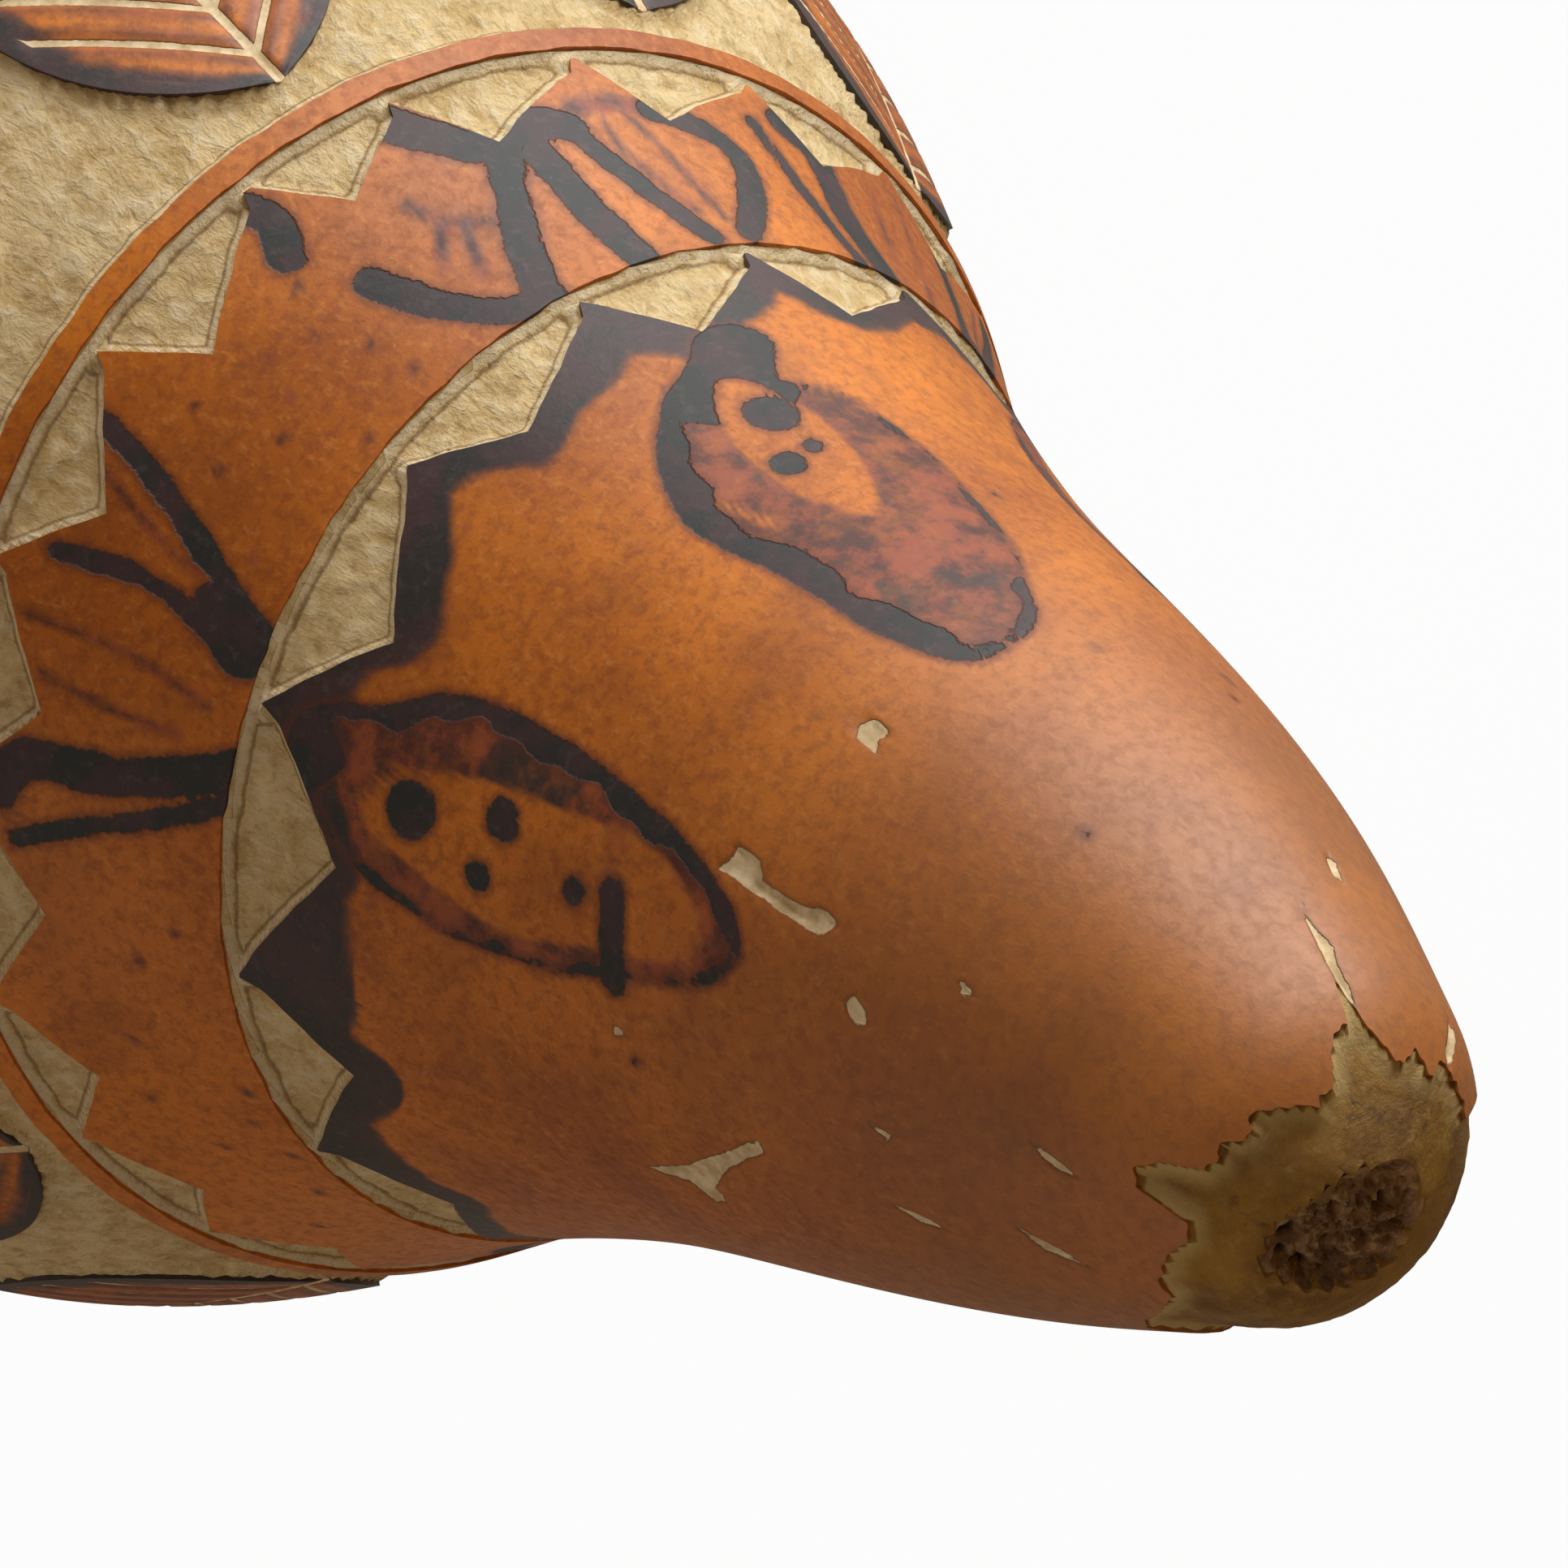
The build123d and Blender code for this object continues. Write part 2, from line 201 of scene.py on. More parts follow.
# Teeth of the neck ring: angle of the left foot, of the apex and of the right foot, and height.
# Those that the photograph shows come first; the rest are spaced evenly round the hidden side.
tooth_step_share = 0.2
ring_tooth_bow = 0.85
ring_tooth_pitch = 27.3
ring_teeth = [
    (-90.0, -75.5, -66.5, 7.4), (-65.5, -52.5, -43.0, 7.4), (-42.0, -26.5, -12.0, 6.9), (-14.5, 3.0, 15.5, 8.3),
    (16.8, 30.8, 47.5, 9.2), (49.0, 60.0, 74.5, 8.3), (75.5, 87.5, 104.5, 7.6),
]
for turn in (ring_tooth_pitch * n for n in range(6)):
    ring_teeth.append((105.5 + turn, 120.0 + turn, 132.0 + turn, 7.8))

# Teeth of the shoulder band, in the same way
band_tooth_pitch = 19.2
band_teeth = [
    (-41.5, -33.0, -27.0, 5.6), (-25.5, -13.0, -7.5, 7.0), (-6.5, 4.5, 12.0, 6.6), (13.0, 24.0, 32.0, 6.2),
    (33.0, 44.0, 53.0, 6.2), (55.0, 63.0, 71.0, 5.4), (72.0, 81.0, 89.0, 5.2), (90.0, 98.5, 107.0, 5.4),
]
for turn in (band_tooth_pitch * n for n in range(11)):
    band_teeth.append((108.0 + turn, 119.5 + turn, 126.0 + turn, 6.2))

hem_pitch = 360 / hem_tooth_count
hem_tooth_share = 0.47
hem_teeth = [
    (hem_pitch * (n - hem_tooth_share), hem_pitch * n, hem_pitch * (n + hem_tooth_share), hem_tooth_height)
    for n in range(hem_tooth_count)
]


def tooth_rise(angle, teeth, step_share=0.0, bow=1.0):
    """How far the teeth rise above their line at these angles. The left edge starts with a step and bows out."""
    rise = np.zeros_like(angle)
    for left, apex, right, tall in teeth:
        turned = turned_from(angle, left)
        up = turned / (apex - left)
        down = (right - left - turned) / (right - apex)
        share_up = step_share + (1 - step_share) * np.clip(up, 0, 1) ** bow
        share_down = np.clip(down, 0, 1)
        inside = (turned >= 0) & (turned <= right - left)
        rise = np.where(inside, np.maximum(rise, tall * np.where(up < 1, share_up, share_down)), rise)
    return rise


def wander(angle, seed, size, waves):
    """A small hand-made unevenness round the gourd that closes on itself."""
    maker = random.Random(seed)
    total = np.zeros_like(angle)
    for wave in waves:
        total += math.sqrt(waves[0] / wave) * np.sin(np.radians(angle * wave) + maker.uniform(0, 2 * math.pi))
    return total * size


def ring_line(angle):
    return ring_height + ring_rise * np.cos(np.radians(angle))


def neck_low(angle):
    rise = tooth_rise(angle, ring_teeth, tooth_step_share, ring_tooth_bow)
    return ring_line(angle) + line_width / 2 + rise + wander(angle, 1, 0.06, (31, 57, 97))


# Torn upper edge of the neck skin, from its first angle all the way round: angle and height
torn_edge_limit = 220.8
torn_edge = (
    (-125, 219.8), (-110, 219.5), (-96, 219.2), (-88, 219.9), (-80, 219.2), (-72, 220.0), (-63, 219.2),
    (-58, 217.8), (-55, 214.4), (-51, 217.4), (-44, 217.8), (-41, 218.7), (-34, 219.6), (-22, 219.9), (-9, 218.6),
    (0, 217.8), (6, 217.9), (11, 216.6), (16, 217.0), (21, 216.6), (24, 213.2), (28, 211.7), (34, 212.0),
    (37, 213.8), (40, 215.3), (44, 215.5), (54, 214.0), (64, 212.1), (73, 212.0), (80, 209.8), (87, 207.8),
    (98, 204.4), (112, 206.5), (130, 204.5), (150, 208.0), (172, 206.0), (200, 211.5), (218, 214.0), (235, 219.8),
)


def neck_high(angle):
    edge = np.array(torn_edge)
    first = edge[0, 0]
    turned = (angle - first) % 360 + first
    run = run_at(np.interp(turned, edge[:, 0], edge[:, 1])) + wander(angle, 2, 0.22, (11, 19, 31, 47, 73))
    return np.minimum(np.interp(run, outline_run, outline[:, 1]), torn_edge_limit)


def shoulder_high(angle):
    return ring_line(angle) - line_width / 2 + wander(angle, 3, 0.05, (29, 61, 103))


def shoulder_low(angle):
    rise = tooth_rise(angle, band_teeth, tooth_step_share)
    return band_height + line_width / 2 + rise + wander(angle, 4, 0.05, (37, 71, 109))


def base_high(angle):
    return hem_height - line_width / 2 - tooth_rise(angle, hem_teeth)


def level(height, seed=0, waves=()):
    """An edge that runs level round the gourd, but for a small unevenness."""
    return lambda angle: height + wander(angle, seed, 0.06, waves)


skins = {
    "neck_skin": (neck_low, neck_high),
    "shoulder_skin": (shoulder_low, shoulder_high),
    "shoulder_strip": (level(strip_foot, 6, (27, 63, 95)), level(strip_top, 5, (33, 59, 101))),
    "belly_skin": (level(hem_height + line_width / 2), level(frieze_foot, 7, (35, 55, 91))),
    "base_skin": (level(base_skin_height), base_high),
}


def leaf_half_width(height):
    """Half the width of a leaf at this height above its middle."""
    half = frieze_depth / 2 - leaf_gap
    curve = (half**2 + (leaf_width / 2) ** 2) / leaf_width
    return np.sqrt(np.maximum(curve**2 - height**2, 0)) - (curve - leaf_width / 2)


# ---------- distances, in the surface's own millimetres ----------


def near_shape(angle, run, points, closed):
    """Distance from each place to a drawn line, given as (angle, height) points; negative inside a closed one."""
    corners = np.array(points, float)
    if closed:
        corners = np.concatenate([corners, corners[:1]])
    middle = corners[:, 0].mean()
    turned = turned_from(angle, middle)
    x = np.radians(turned) * radius_at(run)
    y = run
    cy = run_at(corners[:, 1])
    cx = np.radians(corners[:, 0] - middle) * radius_at(cy)
    best = np.full(angle.shape, 1e9)
    inside = np.zeros(angle.shape, bool)
    for x0, y0, x1, y1 in zip(cx[:-1], cy[:-1], cx[1:], cy[1:]):
        dx, dy = x1 - x0, y1 - y0
        share = np.clip(((x - x0) * dx + (y - y0) * dy) / max(dx * dx + dy * dy, 1e-9), 0, 1)
        best = np.minimum(best, np.hypot(x - x0 - share * dx, y - y0 - share * dy))
        if closed and y0 != y1:
            crosses = ((y0 > y) != (y1 > y)) & (x < dx * (y - y0) / dy + x0)
            inside ^= crosses
    return np.where(inside, -best, best) if closed else best


def rounded(points, closed=True, count=6):
    """More points along a smooth curve through these."""
    given = np.array(points, float)
    size = len(given)
    made = []
    for i in range(size if closed else size - 1):
        numbers = [(i + k) % size if closed else min(max(i + k, 0), size - 1) for k in (-1, 0, 1, 2)]
        a, b, c, d = given[numbers]
        bend, twist = 2 * a - 5 * b + 4 * c - d, 3 * b - a - 3 * c + d
        for t in np.arange(count) / count:
            made.append(0.5 * (2 * b + (c - a) * t + bend * t**2 + twist * t**3))
    if not closed:
        made.append(given[-1])
    return np.array(made)


# ---------- burned drawings: places as (angle, height), widths in millimetres ----------

# Distance that stands for a place far from any mark
unmarked = 40.0
speck_radius = 0.5
nick_radius = 0.3

# First pod, on the upper side of the neck
pod_one_outline = (
    (-53, 136.4), (-60, 138.5), (-56, 143.6), (-63, 146), (-67, 152), (-67.5, 158), (-65, 167), (-60, 173),
    (-54, 177.6), (-45, 179), (-38, 177.6), (-33.5, 171), (-32, 163), (-29.5, 154), (-33, 147.5), (-41, 141.8),
    (-46, 140),
)
pod_one_window = ((-48, 142.1), (-53, 143.4), (-56.5, 149), (-56, 154.6), (-50.5, 160.8), (-44, 156), (-43.5, 148))
pod_one_dots = (((-51, 147.0), 2.3), ((-46.8, 152.4), 1.35), ((-52, 151.6), 0.8))
pod_one_slit = ((-34.6, 152.6), (-37.6, 157.6))
# Second pod, on the side towards the camera
pod_two_outline = (
    (16, 134), (12, 137), (10, 141.2), (5.5, 145), (3.8, 150), (4, 158), (6, 165), (9.5, 171.5), (15, 176),
    (21, 177.3), (27, 175), (31, 168), (34, 161), (35, 153), (33, 146), (28, 139.5), (21, 134.8),
)
pod_two_window = (
    (23, 141.2), (17, 143.6), (13.6, 150), (12.4, 158), (11.2, 167), (16, 172), (21.5, 174), (26, 171.5),
    (29, 163), (31.5, 155), (26.5, 144.5),
)
pod_two_dots = (((20.5, 145.4), 2.3), ((17, 153.6), 1.7), ((25.5, 152.4), 1.3), ((22, 161.4), 1.1))
pod_two_bar = ((10, 163.8), (20, 165.0), (32, 166.2))
# Outline, window and dots of each pod, height to which its foot is black, and its black rim: least width, how
# much it swells, from which angle, over how many degrees and to what power. The waves make the rim uneven:
# size, turns along the surface, turns with the angle, and start.
pods = {
    1: (
        (pod_one_outline, pod_one_window, pod_one_dots, 145.0),
        (0.25, 2.3, -61, 22, 1.3),
        ((0.5, 0.55, 0.0, 0.0), (0.3, 1.3, 0.2, 0.0)),
    ),
    2: (
        (pod_two_outline, pod_two_window, pod_two_dots, 138.0),
        (0.5, 1.5, 26, -20, 1.0),
        ((0.4, 0.6, 0.0, 1.0), (0.25, 1.5, 0.0, 0.0)),
    ),
}
slit_half = 0.28
bar_half = 1.25
bar_stain_half = 1.1
# The pods are carried on round the hidden side: which pod, and how far it is turned
pod_places = ((1, 0.0), (2, 0.0), (2, 104.0), (1, 232.0), (2, -128.0))

# Thick strokes that fan out from a point on the shoulder, as points and half a width
fan_strokes = (
    (((-40, 109.0), (-43.5, 112.1), (-47, 114.0), (-52.5, 113.4), (-56, 114.3)), 1.8),
    (((-48.5, 114.6), (-43.5, 122.3), (-40.5, 127.8)), 1.5),
    (((-51.5, 116.0), (-52, 122.4), (-53.5, 128.5)), 1.5),
    (((-56, 114.3), (-59.5, 120.8), (-63.5, 126.5)), 1.15),
    (((-66, 113.2), (-69, 113.8), (-73.5, 116.1), (-73.5, 120.2), (-69, 126.0)), 1.25),
    (((-28, 119.4), (-29.5, 121.9), (-32, 125.0), (-37, 128.0), (-41, 128.2)), 1.35),
    (((-25, 108.6), (-26, 111.0), (-24.5, 113.8)), 1.5),
)
# Thin brown strokes between them
fan_hatches = (
    (((-36.5, 116.0), (-38.5, 118.6), (-44, 121.0)), 0.65),
    (((-38, 118.0), (-34.5, 121.9)), 0.55),
    (((-39.5, 119.4), (-37, 124.2)), 0.5),
    (((-60, 114.3), (-60.5, 118.0), (-64, 123.7)), 0.45),
    (((-63, 113.5), (-65, 118.0), (-67, 124.5)), 0.45),
    (((-58, 112.6), (-62, 112.4), (-66, 113.2)), 1.1),
)
# Strokes that lie like the ribs of a leaf
rib_strokes = (
    (((-2.5, 111.3), (0, 117.3), (7, 127.0), (9.5, 130.2)), 0.95),
    (((9.5, 112.1), (8.5, 118.4), (10, 123.7), (13, 127.6)), 0.75),
    (((8, 124.6), (11.5, 128.6)), 1.7),
    (((32, 111.3), (28.5, 113.5), (28, 120.8), (23.5, 130.4)), 1.6),
    (((36.5, 112.4), (31, 124.4), (27, 130.2)), 0.75),
)
rib_hatches = (
    (((15.5, 111.3), (16, 120.3), (18, 126.7)), 0.4),
    (((20.5, 113.5), (21.5, 118.8), (22, 125.0)), 0.4),
    (((1, 112.6), (4.5, 119.0), (6, 122.4)), 0.35),
)
fan_turns = (0.0, 190.0)
rib_turns = (0.0, 190.0, 245.0)
specks = (
    (-23, 116.1), (-23, 123.2), (-14, 121.5), (-24, 127.0), (-15, 128.4), (-4, 120.3), (2, 126.1),
    (65, 125.5), (76, 124.8), (58, 118.0), (48, 121.0), (92, 117.0), (70, 124.0), (84, 122.6), (66, 116.5),
    (74, 119.4), (44, 124.6), (-16, 118.4), (-10, 123.0), (-8, 116.2), (-20, 119.8),
    (171, 120.0), (186, 124.0), (198, 115.0), (-94, 119.0), (-112, 123.0),
)
nicks = ((-72, 159.9), (-61, 181.3), (-88.5, 182.9), (-84.5, 185.9), (44, 168.0), (-30, 196.0))
# Places where the dyed skin has chipped off the neck: outline points
chips = (
    ((-22.6, 177.6), (-22, 179.6), (-20, 179.0), (-17.8, 180.1), (-18.2, 177.7), (-20, 177.1)),
    (
        (3.4, 173.8), (5.2, 174.2), (5.4, 176.4), (8.4, 177.4), (9.0, 181.6), (7.4, 182.9), (8.6, 184.6),
        (11.8, 183.6), (11.4, 180.0), (10.2, 176.0), (9.8, 173.2), (7.0, 174.2),
    ),
    ((17.8, 187.2), (20.4, 188.9), (23.4, 189.2), (22.6, 187.8), (20, 187.0)),
    ((6.4, 195.0), (8, 196.5), (10.2, 196.0), (8.6, 195.4)),
    ((39, 166.0), (40, 167.2), (41.2, 166.2)),
    (
        (65.5, 164.9), (62, 169.8), (57, 174.2), (51, 178.9), (53.6, 179.2), (60, 174.4), (65.6, 171.8),
        (69, 172.0), (70, 170.4), (66, 169.4),
    ),
    ((40, 190.0), (41.2, 192.0), (42.8, 191.4)),
    ((56.6, 190.0), (58.6, 193.2), (61.4, 195.4), (60.4, 192.6)),
    ((31.6, 203.0), (34.6, 205.8), (38, 207.8), (36.4, 204.8)),
    ((55, 201.0), (59.4, 204.2), (65, 206.6), (61, 203.0)),
    ((-82, 203.6), (-79.6, 206.0), (-77, 205.2), (-79, 203.4)),
    (
        (-64, 207.2), (-60.6, 208.6), (-59.6, 210.6), (-62, 212.0), (-58.8, 213.8), (-57.6, 216.8), (-54.8, 216.4),
        (-56, 213.2), (-59, 209.4),
    ),
    ((-108, 216.2), (-103, 219.0), (-99, 218.4), (-104, 215.8)),
    ((128, 180.0), (133, 183.4), (139, 184.0), (134, 180.6)),
    ((176, 192.0), (179, 195.6), (184, 196.4), (181, 192.4)),
    ((-150, 170.0), (-146, 173.0), (-143, 171.4), (-147, 169.4)),
)


def pod_fields(angle, run):
    """The pods: signed distance to what is burned black, and a share from 0 to 1 of what is stained brown."""
    burned = np.full(angle.shape, unmarked)
    stained = np.zeros(angle.shape)
    for kind, turn in pod_places:
        here = turned_from(angle, turn)
        (ring, hole, dots, foot_top), (least, swell, swell_from, swell_over, power), waves = pods[kind]
        thick = least + swell * np.clip((here - swell_from) / swell_over, 0, 1) ** power
        for size, per_run, per_angle, start in waves:
            thick += size * np.sin(run * per_run + here * per_angle + start)
        body = near_shape(here, run, rounded(ring), True)
        window = near_shape(here, run, rounded(hole), True)
        rim = np.maximum(body, -(body + thick))
        foot = np.maximum(body, run - run_at(foot_top) + 1.2 * np.sin(here * 0.6))
        black = np.maximum(np.minimum(rim, foot), -window)
        fill = np.clip(0.5 - body / 0.5, 0, 1) * np.clip(0.5 + window / 0.4, 0, 1)
        if kind == 1:
            slit = near_shape(here, run, pod_one_slit, False) - slit_half
            black = np.maximum(black, -slit)
            fill *= np.clip(0.5 + slit / 0.3, 0, 1)
        else:
            black = np.minimum(black, near_shape(here, run, pod_two_bar[1:], False) - bar_half)
            tan = near_shape(here, run, pod_two_bar[:2], False) - bar_stain_half
            fill = np.maximum(fill, 0.45 * np.clip(0.5 - tan / 0.4, 0, 1))
        for place, radius in dots:
            black = np.minimum(black, near_shape(here, run, [place, place], False) - radius)
        burned = np.minimum(burned, black)
        stained = np.maximum(stained, fill)
    return burned, stained


def stroke_fields(angle, run):
    """The strokes on the shoulder, as pod_fields gives the pods."""
    burned = np.full(angle.shape, unmarked)
    brown = np.full(angle.shape, unmarked)
    groups = [(turn, fan_strokes, fan_hatches) for turn in fan_turns]
    groups += [(turn, rib_strokes, rib_hatches) for turn in rib_turns]
    for turn, strokes, hatches in groups:
        here = turned_from(angle, turn)
        for points, half in strokes:
            burned = np.minimum(burned, near_shape(here, run, rounded(points, closed=False), False) - half)
        for points, half in hatches:
            brown = np.minimum(brown, near_shape(here, run, rounded(points, closed=False), False) - half)
    for place in specks:
        brown = np.minimum(brown, near_shape(angle, run, [place, place], False) - speck_radius)
    return burned, np.clip(0.5 - brown / 0.6, 0, 1)


def drawn_fields(name, angle, run):
    if name == "neck_skin":
        burned, stained = pod_fields(angle, run)
        for place in nicks:
            burned = np.minimum(burned, near_shape(angle, run, [place, place], False) - nick_radius)
        return burned, stained
    if name == "shoulder_skin":
        return stroke_fields(angle, run)
    return np.full(angle.shape, unmarked), np.zeros(angle.shape)


def chipped_field(name, angle, run):
    """Signed distance to the nearest chip, negative inside it."""
    nearest = np.full(angle.shape, unmarked)
    if name == "neck_skin":
        for points in chips:
            nearest = np.minimum(nearest, near_shape(angle, run, points, True))
    return nearest


# ---------- mesh tools ----------


def start_clean():
    bpy.ops.object.select_all(action="DESELECT")


def edge_angles(count, keys):
    """Even angles round the gourd, with the nearest ones moved onto the corners of the teeth."""
    angles = np.linspace(-180, 180, count + 1)
    for key in keys:
        turned = turned_from(key, 0)
        nearest = int(np.argmin(np.abs(angles[1:-1] - turned))) + 1
        angles[nearest] = turned
    return angles


def grid_piece(name, columns, rows, place):
    """A grid primitive whose points are laid out by place(column share, row share)."""
    start_clean()
    bpy.ops.mesh.primitive_grid_add(x_subdivisions=columns, y_subdivisions=rows, size=1)
    piece = bpy.context.object
    piece.name = name
    flat = np.empty(len(piece.data.vertices) * 3)
    piece.data.vertices.foreach_get("co", flat)
    flat = flat.reshape(-1, 3)
    laid, fields = place(flat[:, 0] + 0.5, flat[:, 1] + 0.5)
    piece.data.vertices.foreach_set("co", (laid * MM).ravel())
    for field, values in fields.items():
        layer = piece.data.attributes.new(field, "FLOAT", "POINT")
        layer.data.foreach_set("value", np.asarray(values, np.float32))
    piece.data.update()
    bpy.ops.object.mode_set(mode="EDIT")
    bpy.ops.mesh.select_all(action="SELECT")
    bpy.ops.mesh.remove_doubles(threshold=merge_distance * MM)
    bpy.ops.mesh.normals_make_consistent(inside=False)
    bpy.ops.object.mode_set(mode="OBJECT")
    bpy.ops.object.shade_smooth()
    return piece


def join_onto(target, others):
    start_clean()
    for other in others:
        other.select_set(True)
    target.select_set(True)
    bpy.context.view_layer.objects.active = target
    bpy.ops.object.join()


def thicken(piece, thickness):
    """Gives a sheet its thickness inwards."""
    modifier = piece.modifiers.new("thickness", "SOLIDIFY")
    modifier.thickness = thickness * MM
    modifier.offset = -1
    modifier.use_even_offset = False
    modifier.use_rim = True
    bpy.context.view_layer.objects.active = piece
    bpy.ops.object.modifier_apply(modifier=modifier.name)


def paint(piece, material):
    piece.data.materials.clear()
    piece.data.materials.append(material)


def finish(piece, replaced, material, angle=crisp_angle):
    """Gives a piece its material and its shading, sets it at the origin under the gourd's body, and hides the node
    that it replaces.
    """
    paint(piece, material)
    start_clean()
    piece.select_set(True)
    bpy.context.view_layer.objects.active = piece
    bpy.ops.object.shade_smooth_by_angle(angle=math.radians(angle))
    piece.location = (0, 0, 0)
    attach(piece, "gourd")
    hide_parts(replaced)


# ---------- materials ----------


class Finish:
    """A node material and short calls that add a node and link it."""

    def __init__(self, name, roughness):
        self.material = bpy.data.materials.new(name)
        self.material.use_nodes = True
        self.tree = self.material.node_tree
        self.shader = self.tree.nodes["Principled BSDF"]
        self.shader.inputs["Roughness"].default_value = roughness
        self.place = self.tree.nodes.new("ShaderNodeTexCoord").outputs["Object"]

    def node(self, kind, **settings):
        node = self.tree.nodes.new(kind)
        for key, value in settings.items():
            setattr(node, key, value)
        return node

    def feed(self, socket, value):
        if isinstance(value, bpy.types.NodeSocket):
            self.tree.links.new(value, socket)
        else:
            socket.default_value = value

    def stretched(self, scale):
        node = self.node("ShaderNodeMapping")
        node.inputs["Scale"].default_value = scale
        self.feed(node.inputs["Vector"], self.place)
        return node.outputs["Vector"]

    def noise(self, scale, detail=4.0, roughness=0.55, stretch=None, distortion=0.0):
        node = self.node("ShaderNodeTexNoise")
        self.feed(node.inputs["Vector"], self.stretched(stretch) if stretch else self.place)
        node.inputs["Scale"].default_value = scale
        node.inputs["Detail"].default_value = detail
        node.inputs["Roughness"].default_value = roughness
        node.inputs["Distortion"].default_value = distortion
        return node.outputs["Fac"]

    def field(self, name):
        return self.node("ShaderNodeAttribute", attribute_name=name).outputs["Fac"]

    def height(self):
        node = self.node("ShaderNodeSeparateXYZ")
        self.feed(node.inputs[0], self.place)
        return node.outputs["Z"]

    def around(self, value, middle, size):
        """The value less its middle, times a size."""
        return self.math("MULTIPLY", self.math("SUBTRACT", value, middle), size)

    def math(self, operation, first, second=0.0):
        node = self.node("ShaderNodeMath", operation=operation)
        self.feed(node.inputs[0], first)
        self.feed(node.inputs[1], second)
        return node.outputs[0]

    def ranged(self, value, low, high, to_low=0.0, to_high=1.0, smooth=True):
        node = self.node("ShaderNodeMapRange", interpolation_type="SMOOTHSTEP" if smooth else "LINEAR")
        self.feed(node.inputs["Value"], value)
        node.inputs["From Min"].default_value = low
        node.inputs["From Max"].default_value = high
        node.inputs["To Min"].default_value = to_low
        node.inputs["To Max"].default_value = to_high
        return node.outputs["Result"]

    def mix(self, share, first, second):
        node = self.node("ShaderNodeMix", data_type="RGBA")
        self.feed(node.inputs[0], share)
        self.feed(node.inputs[6], self.color(first))
        self.feed(node.inputs[7], self.color(second))
        return node.outputs[2]

    def over(self, under, value, low, high, share, tone):
        """Lays a tone over a colour where a value goes from low to high, up to this share."""
        return self.mix(self.ranged(value, low, high, 0.0, share), under, tone)

    @staticmethod
    def color(value):
        return (*value, 1.0) if isinstance(value, tuple) and len(value) == 3 else value

    def blend_value(self, share, first, second):
        node = self.node("ShaderNodeMix", data_type="FLOAT")
        self.feed(node.inputs[0], share)
        self.feed(node.inputs[2], first)
        self.feed(node.inputs[3], second)
        return node.outputs[0]

    def bump(self, height, distance, under=None):
        node = self.node("ShaderNodeBump")
        node.inputs["Strength"].default_value = 1.0
        node.inputs["Distance"].default_value = distance * MM
        self.feed(node.inputs["Height"], height)
        if under is not None:
            self.feed(node.inputs["Normal"], under)
        return node.outputs["Normal"]

    def done(self, color, normal=None, roughness=None):
        self.feed(self.shader.inputs["Base Color"], self.color(color))
        if normal is not None:
            self.feed(self.shader.inputs["Normal"], normal)
        if roughness is not None:
            self.feed(self.shader.inputs["Roughness"], roughness)
        return self.material


